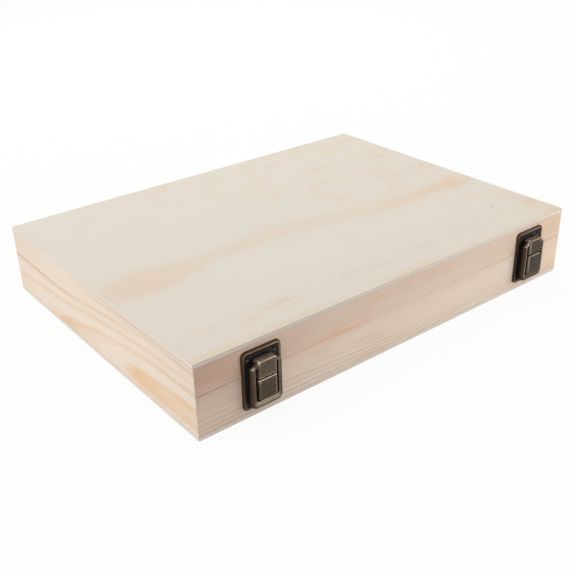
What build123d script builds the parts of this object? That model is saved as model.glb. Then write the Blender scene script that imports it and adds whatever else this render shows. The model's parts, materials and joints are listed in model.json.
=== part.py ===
"""Brush box with a hinged lid: a mitred softwood tray and lid, two butt hinges and two draw latches.

Millimetres. The origin is on the underside, in the middle of the box; +X runs along the front to the
right, +Y to the back and +Z up. The front face carries the latches and the back face the hinges.
"""

import os

from build123d import *

# ---------------------------------------------------------------- the wooden box

box_length = 350.0
box_depth = 260.0
wall_thickness = 9.0
panel_thickness = 3.0
box_wall_height = 28.85
lid_rail_height = 19.85
seam_gap = 0.3

box_wall_top = panel_thickness + box_wall_height
lid_rail_bottom = box_wall_top + seam_gap
lid_rail_top = lid_rail_bottom + lid_rail_height
seam_height = box_wall_top + seam_gap / 2

# ---------------------------------------------------------------- nails

nail_shank_radius = 0.6
nail_head_radius = 1.6
nail_head_height = 0.6
nail_head_lip = 0.15
nail_length = 7.4
nail_point_length = 1.3
nail_hole_clearance = 0.02

# ---------------------------------------------------------------- butt hinges

hinge_edge_distance = 65.0
hinge_width = 30.0
hinge_leaf_height = 11.0
hinge_sheet = 0.9
hinge_barrel_radius = 1.6
hinge_barrel_stand_off = 0.15
hinge_knuckles = 5
hinge_knuckle_gap = 0.1
hinge_leaf_notch_gap = 0.35
hinge_leaf_corner = 1.0
hinge_pin_radius = 0.8
hinge_pin_head_radius = 1.2
hinge_pin_head_length = 0.4
hinge_pin_running_clearance = 0.05
hinge_pin_fixed_clearance = 0.01
hinge_nail_side_inset = 5.5
hinge_nail_height = 7.0

hinge_axis_proud = hinge_barrel_radius + hinge_barrel_stand_off

# ---------------------------------------------------------------- draw latches

left_latch_edge_distance = 48.0
right_latch_edge_distance = 41.0

plate_width = 30.0
plate_sheet = 0.9
plate_rim_height = 1.7
plate_rim_width = 2.0
plate_corner = 3.6
plate_rim_rounding = 0.8
plate_seam_gap = 0.15
strike_above_hook = 5.9
base_plate_below_frame = 2.4
plate_nail_side_inset = 4.8
plate_nail_end_inset = 5.2

latch_sheet = 0.9

frame_width = 24.0
frame_arm_width = 3.4
frame_front_proud = 6.9
frame_back_proud = 2.0
frame_grip_height = 5.2
frame_corner = 4.0
frame_window_corner = 1.0
frame_shoulder_above_seam = 7.0
frame_shoulder_rise = 3.0
frame_shoulder_corner = 2.2
frame_front_rounding = 1.0
frame_window_rounding = 0.35
frame_groove_below_shoulder = 0.4

block_width = 14.8
block_in_front_of_frame = 1.0
block_rounding = 1.0
slit_gap = 1.1

lever_below_seam = 1.9
lever_length = 14.9
lever_end_gap = 1.0
lever_back_proud = 2.6
lever_back_corner = 1.3

lever_pivot_below_top = 1.8
frame_pivot_above_bottom = 1.5
pivot_proud = 4.2
latch_pin_radius = 0.7
latch_pin_head_radius = 1.1
latch_pin_head_length = 0.35
latch_pin_running_clearance = 0.05
latch_pin_fixed_clearance = 0.01
latch_side_clearance = 0.1

ear_sheet = 0.9
ear_gap = 0.4
ear_radius = 1.6

hook_above_shoulder = 1.3
hook_flange_back_proud = 4.0
hook_back_proud = 1.6
hook_back_leg_drop = 1.9
hook_bend = 0.8
hook_corner = 1.25

tongue_width = 8.0
tongue_sheet = 0.8
tongue_front_proud = 5.8
tongue_top_clearance = 0.3
tongue_length = 5.6
tongue_bend = 0.9

plate_inner_width = plate_width - 2 * plate_rim_width
frame_sheet_back = frame_front_proud - latch_sheet
block_front_proud = frame_front_proud + block_in_front_of_frame
block_sheet_back = block_front_proud - latch_sheet
frame_inner_width = frame_width - 2 * frame_arm_width
lever_top = seam_height - lever_below_seam
lever_bottom = lever_top - lever_length
lever_pivot_height = lever_top - lever_pivot_below_top
frame_pivot_height = lever_bottom + frame_pivot_above_bottom
frame_window_bottom = lever_bottom - lever_end_gap
frame_bottom = frame_window_bottom - frame_grip_height
frame_shoulder_height = seam_height + frame_shoulder_above_seam
frame_shoulder_top = frame_shoulder_height + frame_shoulder_rise
frame_groove_end = frame_shoulder_height - frame_groove_below_shoulder
hook_bottom = lever_top + slit_gap
hook_top = frame_shoulder_top + hook_above_shoulder
hook_underside = hook_top - latch_sheet
tongue_top = hook_underside - tongue_top_clearance
tongue_root = tongue_top - tongue_length
ear_outer = block_width / 2 - latch_sheet - ear_gap
strike_bottom = seam_height + plate_seam_gap
strike_top = hook_top + strike_above_hook
base_plate_bottom = frame_bottom - base_plate_below_frame
base_plate_top = seam_height - plate_seam_gap

latch_places = {
    "left": left_latch_edge_distance - box_length / 2,
    "right": box_length / 2 - right_latch_edge_distance,
}
hinge_places = {
    "left": hinge_edge_distance - box_length / 2,
    "right": box_length / 2 - hinge_edge_distance,
}


# ---------------------------------------------------------------- planes, holes and files


def front_plane(x, proud=0.0):
    """Plane on the front face: its X runs to the right, its Y up, its Z out of the wood."""
    return Plane(origin=(x, -box_depth / 2 - proud, 0), x_dir=(1, 0, 0), z_dir=(0, -1, 0))


def back_plane(x, proud=0.0):
    """Plane on the back face, seen from behind: its Y runs up and its Z out of the wood."""
    return Plane(origin=(x, box_depth / 2 + proud, 0), x_dir=(-1, 0, 0), z_dir=(0, 1, 0))


def front_side_plane(x):
    """Upright plane square to the front face: its X is the distance out of the wood, its Y is height."""
    return Plane(origin=(x, -box_depth / 2, 0), x_dir=(0, -1, 0), z_dir=(-1, 0, 0))


def back_side_plane(x):
    """Upright plane square to the back face: its X is the distance out of the wood, its Y is height."""
    return Plane(origin=(x, box_depth / 2, 0), x_dir=(0, 1, 0), z_dir=(1, 0, 0))


def nail_spots(plane_at, centres, offset, height, proud):
    """The two nail positions on each fitting, square to the face that plane_at gives."""
    spots = []
    for x in centres:
        for side in (-1, 1):
            spots.append(plane_at(x + side * offset, proud).location * Location((0, height, 0)))
    return spots


def save(piece, name):
    """Labels a finished piece and writes it as one STEP file."""
    piece.part.label = name
    export_step(piece.part, f"parts/{name}.step")


# ---------------------------------------------------------------- nails

nail_hole_radius = nail_shank_radius + nail_hole_clearance
plate_nail_offset = plate_width / 2 - plate_nail_side_inset
strike_nail_height = strike_top - plate_nail_end_inset
base_nail_height = base_plate_bottom + plate_nail_end_inset
hinge_nail_offset = hinge_width / 2 - hinge_nail_side_inset
lid_hinge_nail_height = seam_height + hinge_nail_height
box_hinge_nail_height = seam_height - hinge_nail_height

latch_nail_rows = {
    "latch_lid_nails": strike_nail_height,
    "latch_box_nails": base_nail_height,
}
hinge_nail_rows = {
    "hinge_lid_nails": lid_hinge_nail_height,
    "hinge_box_nails": box_hinge_nail_height,
}


def nail():
    """One domed nail that points down, with the underside of its head on the XY plane."""
    with BuildPart() as one:
        with BuildSketch(Plane.XZ):
            with BuildLine():
                Polyline(
                    (0, nail_head_height),
                    (0, -nail_length),
                    (nail_shank_radius, nail_point_length - nail_length),
                    (nail_shank_radius, 0),
                    (nail_head_radius, 0),
                    (nail_head_radius, nail_head_lip),
                )
                TangentArc((0, nail_head_height), (nail_head_radius, nail_head_lip), tangent=(1, 0))
            make_face()
        revolve(axis=Axis.Z)
    return one


def nail_group(spots):
    """A nail at each of the given positions."""
    one = nail().part
    with BuildPart() as group:
        with Locations(*spots):
            add(one)
    return group


# ---------------------------------------------------------------- wooden box


def corners(inset):
    """The box's four corners moved inwards by the inset, from the front left one counter-clockwise."""
    x = box_length / 2 - inset
    y = box_depth / 2 - inset
    return [(-x, -y), (x, -y), (x, y), (-x, y)]


outer_corners = corners(0)
inner_corners = corners(wall_thickness)


def panel(bottom):
    """A plywood panel the full size of the box."""
    with BuildPart() as sheet:
        with BuildSketch(Plane.XY.offset(bottom)):
            Rectangle(box_length, box_depth)
        extrude(amount=panel_thickness)
    return sheet


def mitred_board(corner, bottom, height, spots):
    """The board that runs from one outer corner to the next, with a pilot hole at each nail."""
    after = (corner + 1) % 4
    with BuildPart() as board:
        with BuildSketch(Plane.XY.offset(bottom)):
            with BuildLine():
                Polyline(
                    outer_corners[corner],
                    outer_corners[after],
                    inner_corners[after],
                    inner_corners[corner],
                    close=True,
                )
            make_face()
        extrude(amount=height)
        if spots:
            with Locations(*spots):
                Hole(nail_hole_radius, depth=nail_length)
    return board


# ---------------------------------------------------------------- butt hinges

knuckle_pitch = hinge_width / hinge_knuckles
knuckle_length = knuckle_pitch - hinge_knuckle_gap
leaf_notch = hinge_barrel_radius + hinge_leaf_notch_gap


def hinge_leaf(x, direction, knuckles, bore_clearance, nail_height):
    """One leaf and its knuckles. direction is 1 for the leaf above the pin and -1 for the one below."""
    with BuildPart() as leaf:
        with BuildSketch(back_plane(x)) as sheet:
            with Locations((0, seam_height + direction * (hinge_leaf_height + leaf_notch) / 2)):
                Rectangle(hinge_width, hinge_leaf_height - leaf_notch)
            fillet(sheet.vertices().sort_by(Axis.Y, reverse=direction < 0)[2:], hinge_leaf_corner)
        extrude(amount=hinge_sheet)
        for knuckle in knuckles:
            shift = (knuckle + 0.5) * knuckle_pitch - hinge_width / 2
            with BuildSketch(back_side_plane(x + shift)):
                with Locations((hinge_sheet / 2, seam_height + direction * leaf_notch / 2)):
                    Rectangle(hinge_sheet, leaf_notch)
                with Locations((hinge_axis_proud, seam_height)):
                    Circle(hinge_barrel_radius)
                    Circle(hinge_pin_radius + bore_clearance, mode=Mode.SUBTRACT)
            extrude(amount=knuckle_length / 2, both=True)
        with Locations(*nail_spots(back_plane, [x], hinge_nail_offset, nail_height, hinge_sheet)):
            Hole(nail_hole_radius, depth=2 * hinge_sheet)
    return leaf


def hinge_pin(x):
    """The pin with a flat head at each end."""
    with BuildPart() as pin:
        with BuildSketch(back_side_plane(x)):
            with Locations((hinge_axis_proud, seam_height)):
                Circle(hinge_pin_radius)
        extrude(amount=hinge_width / 2, both=True)
        for side in (-1, 1):
            with BuildSketch(back_side_plane(x + side * hinge_width / 2)):
                with Locations((hinge_axis_proud, seam_height)):
                    Circle(hinge_pin_head_radius)
            extrude(amount=side * hinge_pin_head_length)
    return pin


# ---------------------------------------------------------------- draw latches


def rimmed_plate(x, bottom, top, open_end):
    """A plate whose rim stands up on three sides. open_end is -1 if the bottom is open, 1 if the top is."""
    middle = (bottom + top) / 2
    height = top - bottom
    with BuildPart() as plate:
        with BuildSketch(front_plane(x)) as outline:
            with Locations((0, middle)):
                Rectangle(plate_width, height)
            fillet(outline.vertices().sort_by(Axis.Y, reverse=open_end > 0)[2:], plate_corner)
        extrude(amount=plate_rim_height)
        rim_edges = plate.faces().sort_by(Axis.Y)[0].edges().sort_by(Axis.Z, reverse=open_end > 0)[1:]
        fillet(rim_edges, plate_rim_rounding)
        with BuildSketch(front_plane(x, plate_sheet)) as field:
            with Locations((0, middle + open_end * plate_rim_width)):
                Rectangle(plate_inner_width, height)
            fillet(field.vertices().sort_by(Axis.Y, reverse=open_end > 0)[2:], plate_corner - plate_rim_width)
        extrude(amount=plate_rim_height, mode=Mode.SUBTRACT)
    return plate


def strike_plate(x):
    """The lid's plate, with an upturned keeper tongue for the hook."""
    tongue_back = tongue_front_proud - tongue_sheet
    pressed_sheet = rimmed_plate(x, strike_bottom, strike_top, -1).part
    with BuildPart() as plate:
        add(pressed_sheet)
        with BuildSketch(front_side_plane(x)) as tongue:
            with BuildLine():
                Polyline(
                    (plate_sheet / 2, tongue_root),
                    (tongue_front_proud, tongue_root),
                    (tongue_front_proud, tongue_top),
                    (tongue_back, tongue_top),
                    (tongue_back, tongue_root + tongue_sheet),
                    (plate_sheet / 2, tongue_root + tongue_sheet),
                    close=True,
                )
            make_face()
            fillet(tongue.vertices().group_by(Axis.X)[-1].sort_by(Axis.Y)[0], tongue_bend)
        extrude(amount=tongue_width / 2, both=True)
        with Locations(*nail_spots(front_plane, [x], plate_nail_offset, strike_nail_height, plate_sheet)):
            Hole(nail_hole_radius, depth=2 * plate_sheet)
    return plate


def base_plate(x):
    """The box's plate, with two ears that carry the lever's pin."""
    ear_length = pivot_proud - plate_sheet / 2
    pressed_sheet = rimmed_plate(x, base_plate_bottom, base_plate_top, 1).part
    with BuildPart() as plate:
        add(pressed_sheet)
        for side in (-1, 1):
            with BuildSketch(front_side_plane(x + side * (ear_outer - ear_sheet / 2))):
                with Locations((pivot_proud - ear_length / 2, lever_pivot_height)):
                    Rectangle(ear_length, 2 * ear_radius)
                with Locations((pivot_proud, lever_pivot_height)):
                    Circle(ear_radius)
                    Circle(latch_pin_radius + latch_pin_fixed_clearance, mode=Mode.SUBTRACT)
            extrude(amount=ear_sheet / 2, both=True)
        with Locations(*nail_spots(front_plane, [x], plate_nail_offset, base_nail_height, plate_sheet)):
            Hole(nail_hole_radius, depth=2 * plate_sheet)
    return plate


def lever(x):
    """The channel-shaped lever: a front face and two flanges that reach back to the ears."""
    middle = (lever_bottom + lever_top) / 2
    with BuildPart() as channel:
        with BuildSketch(front_side_plane(x)) as profile:
            with Locations(((lever_back_proud + block_front_proud) / 2, middle)):
                Rectangle(block_front_proud - lever_back_proud, lever_length)
            fillet(profile.vertices().group_by(Axis.X)[0], lever_back_corner)
        extrude(amount=block_width / 2, both=True)
        fillet(channel.faces().sort_by(Axis.Y)[0].edges(), block_rounding)
        with BuildSketch(front_side_plane(x)):
            with Locations((block_sheet_back / 2, middle)):
                Rectangle(block_sheet_back, 2 * lever_length)
        extrude(amount=block_width / 2 - latch_sheet, both=True, mode=Mode.SUBTRACT)
        with BuildSketch(front_side_plane(x)):
            with Locations((pivot_proud, lever_pivot_height), (pivot_proud, frame_pivot_height)):
                Circle(latch_pin_radius + latch_pin_running_clearance)
        extrude(amount=block_width / 2, both=True, mode=Mode.SUBTRACT)
    return channel


def frame_outline():
    """The frame seen from the front: the grip below, the sloping shoulders and the hook's block above."""
    half_frame = frame_width / 2
    half_block = block_width / 2
    with BuildSketch() as outline:
        with BuildLine():
            Polyline(
                (-half_frame, frame_bottom),
                (half_frame, frame_bottom),
                (half_frame, frame_shoulder_height),
                (half_block, frame_shoulder_top),
                (half_block, hook_top),
                (-half_block, hook_top),
                (-half_block, frame_shoulder_top),
                (-half_frame, frame_shoulder_height),
                close=True,
            )
        make_face()
        bottom_corners, shoulders, _, block_tops = outline.vertices().group_by(Axis.Y)
        fillet(bottom_corners, frame_corner)
        fillet(shoulders, frame_shoulder_corner)
        fillet(block_tops, hook_corner)
    return outline


def hook_block(x):
    """The upper block of the latch, which stands in front of the frame and hides the hook."""
    block_height = hook_top - hook_bottom
    with BuildPart() as block:
        with BuildSketch(front_plane(x, hook_flange_back_proud)) as outline:
            with Locations((0, hook_bottom + block_height / 2)):
                Rectangle(block_width, block_height)
            fillet(outline.vertices().group_by(Axis.Y)[-1], hook_corner)
        extrude(amount=block_front_proud - hook_flange_back_proud)
        fillet(block.faces().sort_by(Axis.Y)[0].edges(), block_rounding)
    return block


def hook_frame(x):
    """The frame that is pulled to open the latch, with the hook that drops over the keeper tongue."""
    half_block = block_width / 2
    window_height = frame_groove_end - frame_window_bottom
    hook_middle = hook_back_proud + latch_sheet / 2
    outline = frame_outline().sketch
    block = hook_block(x).part
    with BuildPart() as frame:
        with BuildSketch(front_plane(x, frame_back_proud)):
            add(outline)
        extrude(amount=frame_front_proud - frame_back_proud)
        fillet(frame.faces().sort_by(Axis.Y)[0].edges(), frame_front_rounding)
        with BuildSketch(front_plane(x, frame_back_proud)):
            add(outline)
            offset(amount=-latch_sheet, kind=Kind.INTERSECTION, mode=Mode.REPLACE)
        extrude(amount=frame_sheet_back - frame_back_proud, mode=Mode.SUBTRACT)
        with BuildSketch(front_plane(x, frame_sheet_back)) as window:
            with Locations((0, frame_window_bottom + window_height / 2)):
                Rectangle(frame_inner_width, window_height)
            fillet(window.vertices().group_by(Axis.Y)[0], frame_window_corner)
        extrude(amount=latch_sheet, mode=Mode.SUBTRACT)
        fillet(frame.faces().sort_by(Axis.Y)[0].inner_wires().edges(), frame_window_rounding)
        add(block)
        with BuildSketch(front_side_plane(x)):
            with Locations((block_sheet_back / 2, (lever_top + hook_underside) / 2)):
                Rectangle(block_sheet_back, hook_underside - lever_top)
        extrude(amount=half_block - latch_sheet, both=True, mode=Mode.SUBTRACT)
        with BuildSketch(front_side_plane(x)) as back_leg:
            with Locations((hook_middle, hook_top - hook_back_leg_drop / 2)):
                Rectangle(latch_sheet, hook_back_leg_drop)
            fillet(back_leg.vertices().group_by(Axis.X)[0].sort_by(Axis.Y)[-1], hook_bend)
        extrude(amount=half_block - hook_corner, both=True)
        with BuildSketch(front_side_plane(x)):
            with Locations((pivot_proud, frame_pivot_height)):
                Circle(latch_pin_radius + latch_pin_fixed_clearance)
        extrude(amount=frame_width / 2, both=True, mode=Mode.SUBTRACT)
    return frame


def lever_pin(x):
    """The rivet that the lever turns on, held in the base plate's ears, with a head outside each flange."""
    half_span = block_width / 2 + latch_side_clearance
    with BuildPart() as pin:
        with BuildSketch(front_side_plane(x)):
            with Locations((pivot_proud, lever_pivot_height)):
                Circle(latch_pin_radius)
        extrude(amount=half_span, both=True)
        for side in (-1, 1):
            with BuildSketch(front_side_plane(x + side * half_span)):
                with Locations((pivot_proud, lever_pivot_height)):
                    Circle(latch_pin_head_radius)
            extrude(amount=-side * latch_pin_head_length)
    return pin


def frame_pin(x):
    """The rivet that the hook frame turns on, held flush in the frame's flanges."""
    with BuildPart() as pin:
        with BuildSketch(front_side_plane(x)):
            with Locations((pivot_proud, frame_pivot_height)):
                Circle(latch_pin_radius)
        extrude(amount=frame_width / 2, both=True)
    return pin


# ---------------------------------------------------------------- the pieces

os.makedirs("parts", exist_ok=True)

save(panel(0), "base_panel")
save(panel(lid_rail_top), "lid_panel")

latch_centres = list(latch_places.values())
hinge_centres = list(hinge_places.values())
pilot_holes = {
    "box_front": nail_spots(front_plane, latch_centres, plate_nail_offset, base_nail_height, 0),
    "box_back": nail_spots(back_plane, hinge_centres, hinge_nail_offset, box_hinge_nail_height, 0),
    "lid_front": nail_spots(front_plane, latch_centres, plate_nail_offset, strike_nail_height, 0),
    "lid_back": nail_spots(back_plane, hinge_centres, hinge_nail_offset, lid_hinge_nail_height, 0),
}
for corner, side in enumerate(("front", "right", "back", "left")):
    box_holes = pilot_holes.get(f"box_{side}")
    lid_holes = pilot_holes.get(f"lid_{side}")
    save(mitred_board(corner, panel_thickness, box_wall_height, box_holes), f"box_{side}_wall")
    save(mitred_board(corner, lid_rail_bottom, lid_rail_height, lid_holes), f"lid_{side}_rail")

lid_knuckles = range(1, hinge_knuckles, 2)
box_knuckles = range(0, hinge_knuckles, 2)
for side, x in hinge_places.items():
    lid_leaf = hinge_leaf(x, 1, lid_knuckles, hinge_pin_running_clearance, lid_hinge_nail_height)
    box_leaf = hinge_leaf(x, -1, box_knuckles, hinge_pin_fixed_clearance, box_hinge_nail_height)
    save(lid_leaf, f"{side}_hinge_lid_leaf")
    save(box_leaf, f"{side}_hinge_box_leaf")
    save(hinge_pin(x), f"{side}_hinge_pin")

for side, x in latch_places.items():
    save(strike_plate(x), f"{side}_strike_plate")
    save(base_plate(x), f"{side}_base_plate")
    save(lever(x), f"{side}_lever")
    save(hook_frame(x), f"{side}_hook_frame")
    save(lever_pin(x), f"{side}_lever_pin")
    save(frame_pin(x), f"{side}_frame_pin")

for name, height in latch_nail_rows.items():
    spots = nail_spots(front_plane, latch_centres, plate_nail_offset, height, plate_sheet)
    save(nail_group(spots), name)
for name, height in hinge_nail_rows.items():
    spots = nail_spots(back_plane, hinge_centres, hinge_nail_offset, height, hinge_sheet)
    save(nail_group(spots), name)
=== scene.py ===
"""Finishes for a brush box with a hinged lid: pine boards, plywood panels, brass latches and hinges.

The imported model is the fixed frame. Each operator makes one piece, or one group of like pieces, from the
place and size of its node in that frame, in metres: +X runs along the front to the right, +Y to the back
and +Z up. Run as a script, the file makes the whole box, the floor, the lamps and the camera.
"""

import json
import math
from collections import namedtuple

import bmesh
import bpy
from bpy.props import FloatProperty, FloatVectorProperty, PointerProperty
from mathutils import Matrix, Vector


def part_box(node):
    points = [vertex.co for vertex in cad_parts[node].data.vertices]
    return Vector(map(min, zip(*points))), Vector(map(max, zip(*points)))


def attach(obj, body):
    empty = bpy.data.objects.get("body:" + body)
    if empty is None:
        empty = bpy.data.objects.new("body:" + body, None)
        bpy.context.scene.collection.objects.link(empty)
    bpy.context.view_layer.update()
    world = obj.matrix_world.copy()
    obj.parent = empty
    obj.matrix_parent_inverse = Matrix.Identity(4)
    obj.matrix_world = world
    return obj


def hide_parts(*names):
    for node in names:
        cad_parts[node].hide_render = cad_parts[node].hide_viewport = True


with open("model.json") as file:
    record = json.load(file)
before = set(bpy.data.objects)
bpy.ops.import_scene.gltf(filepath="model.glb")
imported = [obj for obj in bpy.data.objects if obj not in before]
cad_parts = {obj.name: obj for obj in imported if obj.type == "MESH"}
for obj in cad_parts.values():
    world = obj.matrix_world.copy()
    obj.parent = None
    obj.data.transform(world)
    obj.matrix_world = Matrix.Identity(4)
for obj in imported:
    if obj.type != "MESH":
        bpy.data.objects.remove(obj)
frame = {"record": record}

bl_info = {
    "name": "Brush box finishes",
    "version": (1, 0, 0),
    "blender": (4, 5, 0),
    "location": "3D View > Sidebar > Brush box",
    "description": "Makes the boards, panels, latches and hinges of a brush box around its packed model",
    "category": "Object",
}

MM = 0.001
HANDS = ("left", "right")

# The way that the board of each side runs, along X and Y.
RUNS = {"front": (1, 0), "right": (0, 1), "back": (-1, 0), "left": (0, -1)}

# Half the box's length and half its depth.
HALF_LENGTH, HALF_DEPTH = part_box("base_panel")[1].xy


# ---- colours and sizes to change


def linear(red, green, blue):
    """A colour written as 0 to 255 on the screen, as the scene's own linear colour."""
    def channel(level):
        share = level / 255
        return share / 12.92 if share <= 0.04045 else ((share + 0.055) / 1.055) ** 2.4
    return (channel(red), channel(green), channel(blue))


def colour(name, description, red, green, blue):
    """A colour property with a default written as 0 to 255."""
    return FloatVectorProperty(
        name=name, description=description, default=linear(red, green, blue), min=0, max=1, subtype="COLOR"
    )


def length(name, description, millimetres):
    """A length property with a default written in millimetres."""
    metres = millimetres * MM
    return FloatProperty(
        name=name, description=description, default=metres, min=0, unit="LENGTH", subtype="DISTANCE"
    )


def strength(name, description, default):
    """A property without a unit, from 0 up."""
    return FloatProperty(name=name, description=description, default=default, min=0, unit="NONE")


def power(name, description, watts):
    """A lamp's power."""
    return FloatProperty(name=name, description=description, default=watts, min=0, unit="POWER")


class WoodSettings(bpy.types.PropertyGroup):
    """Colours and edges of the boards and panels"""

    earlywood: colour("Earlywood", "Pale wood between the rings", 236, 225, 210)
    latewood: colour("Latewood", "Resinous wood at each ring", 233, 199, 163)
    crest: colour("Ring crest", "Darkest line of a ring", 138, 116, 86)
    blush: colour("Blush", "Pinkish cast of the front and right boards", 226, 197, 178)
    # Toast darkens the boards towards their ends: darker wood, and painted shade at the front board's left
    # end.
    toast: colour("Toast", "Darker wood towards the end of a board", 178, 142, 120)
    hair: colour("Hairs", "Hairlines between the rings", 206, 168, 132)
    streak: colour("Streaks", "Dark streaks near a board's upper edge", 184, 148, 114)
    fibre: colour("Fibre", "Finest grain of the boards", 190, 160, 132)
    fleck: colour("Flecks", "Short dark flecks in the boards", 176, 140, 110)
    resin: colour("Resin", "Orange streak in the seam", 222, 170, 130)
    # Seam shade is painted shade: a reddish line along the seam between the lid and the box.
    seam_shade: colour("Seam shade", "Reddish wood beside the seam", 160, 104, 76)
    hair_strength: strength("Hair strength", "How much of the hairlines shows", 0.1)
    streak_strength: strength("Streak strength", "How much of the boards' streaks shows", 0.5)
    fibre_strength: strength("Fibre strength", "How much of the boards' finest grain shows", 0.09)
    fleck_strength: strength("Fleck strength", "How much of the flecks shows", 0.1)
    veneer: colour("Veneer", "Face of the plywood", 230, 223, 213)
    veneer_figure: colour("Veneer figure", "Warm bands in the face of the plywood", 230, 207, 183)
    veneer_sap: colour("Veneer sap", "Yellowish clouds in the face of the plywood", 229, 219, 199)
    veneer_streak: colour("Veneer streaks", "Warm streaks in the face of the plywood", 228, 198, 162)
    veneer_glow: colour("Veneer glow", "Warm patches along the plywood's front edge", 228, 204, 168)
    veneer_grey: colour("Veneer grey", "Grey streaks in the face of the plywood", 200, 188, 176)
    veneer_fibre: colour("Veneer fibre", "Finest grain of the plywood", 196, 178, 158)
    pitch: colour("Pitch", "The fleck of pitch in the lid's face", 176, 126, 84)
    ply_core: colour("Plywood core", "Edge of the middle ply", 234, 224, 212)
    ply_face: colour("Plywood face", "Edge of the outer plies", 221, 208, 194)
    ply_layer: colour("Plywood layers", "Darker layers within the plies", 186, 172, 158)
    # The plywood's front edge carries painted shade: greyer and darker towards its left end.
    ply_edge_shade: colour("Plywood grime", "Grey of the plywood's front edge", 150, 140, 129)
    glue_line: colour("Glue line", "Hairlines between the plies", 184, 160, 140)
    # How much of that painted shade each panel's front edge has at its left end.
    lid_edge_shade: strength("Lid grime", "How much grey the lid panel's front edge has at its left end", 0.38)
    base_edge_shade: strength("Base grime", "How much grey the base panel's front edge has at its left end", 0.1)
    corner_rounding: length("Corner rounding", "Radius of the box's upright corners", 0.55)
    panel_rounding: length("Panel rounding", "Radius of the panels' outer edges", 0.35)
    joint_rounding: length("Joint rounding", "Radius of the edges at the seam and glue joints", 0.045)
    seam_wander: length("Seam wander", "How far each seam edge strays towards the other", 0.145)


class BrassSettings(bpy.types.PropertyGroup):
    """Colours and rounding of the latches and hinges"""

    patina: colour("Patina", "Brown of the antiqued face", 80, 70, 59)
    # Tarnish is also painted shade: the right latch's face is darker, as it reflects less light.
    tarnish_and_shade: colour("Tarnish", "Violet brown of the right latch's face", 40, 31, 28)
    # Shade also serves as painted shade on the sides of the blocks and the rims. Soot, the black of the
    # recesses, also stands for painted shadow under the hook frame and on the latches' lower halves.
    shade: colour("Shade", "Warm brown of the sides and of clouds in the patina", 68, 51, 33)
    soot_and_shadow: colour("Soot", "Blackening in the recesses", 24, 19, 17)
    slate: colour("Slate", "Grey smears in the blackened plates", 72, 69, 73)
    # Rubbed brass stands both for worn edges and for painted highlights and reflections on the latches and
    # nails.
    rubbed_and_sheen: colour("Rubbed edge", "Brass that shows where the patina is worn off", 222, 202, 173)
    cloud_strength: strength("Cloud strength", "How much of the patina's clouds shows", 0.75)
    brushing: strength("Brushing", "How much of the fine brushing shows", 0.08)
    # Painted shade on the latches' lower halves, where their faces reflect less light.
    painted_shade: strength("Grime", "How much soot lies on the latches' lower halves", 0.37)
    rim_rounding: length("Rim rounding", "Radius of the plates' raised rims", 0.9)
    block_rounding: length("Block rounding", "Radius of the sides of the lever and the hook", 1.8)
    arm_rounding: length("Arm rounding", "Radius of the hook frame's outer edge", 1.8)
    block_relief: length("Block relief", "How far the lever and the hook stand in front of the frame", 1.0)


class StageSettings(bpy.types.PropertyGroup):
    """Floor, lamps and camera"""

    floor_size: length("Floor size", "Side of the floor", 9000)
    floor_glow: strength("Floor glow", "How much of the floor is plain white to the eye", 0.92)
    sky: strength("Sky", "Strength of the light from all round", 0.52)
    left_power: power("Left lamp", "Power of the lamp on the left", 17)
    front_power: power("Front lamp", "Power of the lamp on the right of the front", 4.9)
    back_power: power("Back lamp", "Power of the lamp behind", 6.9)


# ---- shader building


def sum_of(operation, reflected=False):
    """A method that joins its two values in a Math node."""
    def join(self, other):
        return self.finish.maths(operation, *((other, self) if reflected else (self, other)))
    return join


class Wire:
    """A shader value that can be used in sums, each of which adds a Math node."""

    def __init__(self, finish, socket):
        self.finish = finish
        self.socket = socket

    def __abs__(self):
        return self.finish.maths("ABSOLUTE", self)

    __add__ = sum_of("ADD")
    __radd__ = sum_of("ADD", reflected=True)
    __sub__ = sum_of("SUBTRACT")
    __rsub__ = sum_of("SUBTRACT", reflected=True)
    __mul__ = sum_of("MULTIPLY")
    __rmul__ = sum_of("MULTIPLY", reflected=True)
    __truediv__ = sum_of("DIVIDE")
    __rtruediv__ = sum_of("DIVIDE", reflected=True)


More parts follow.
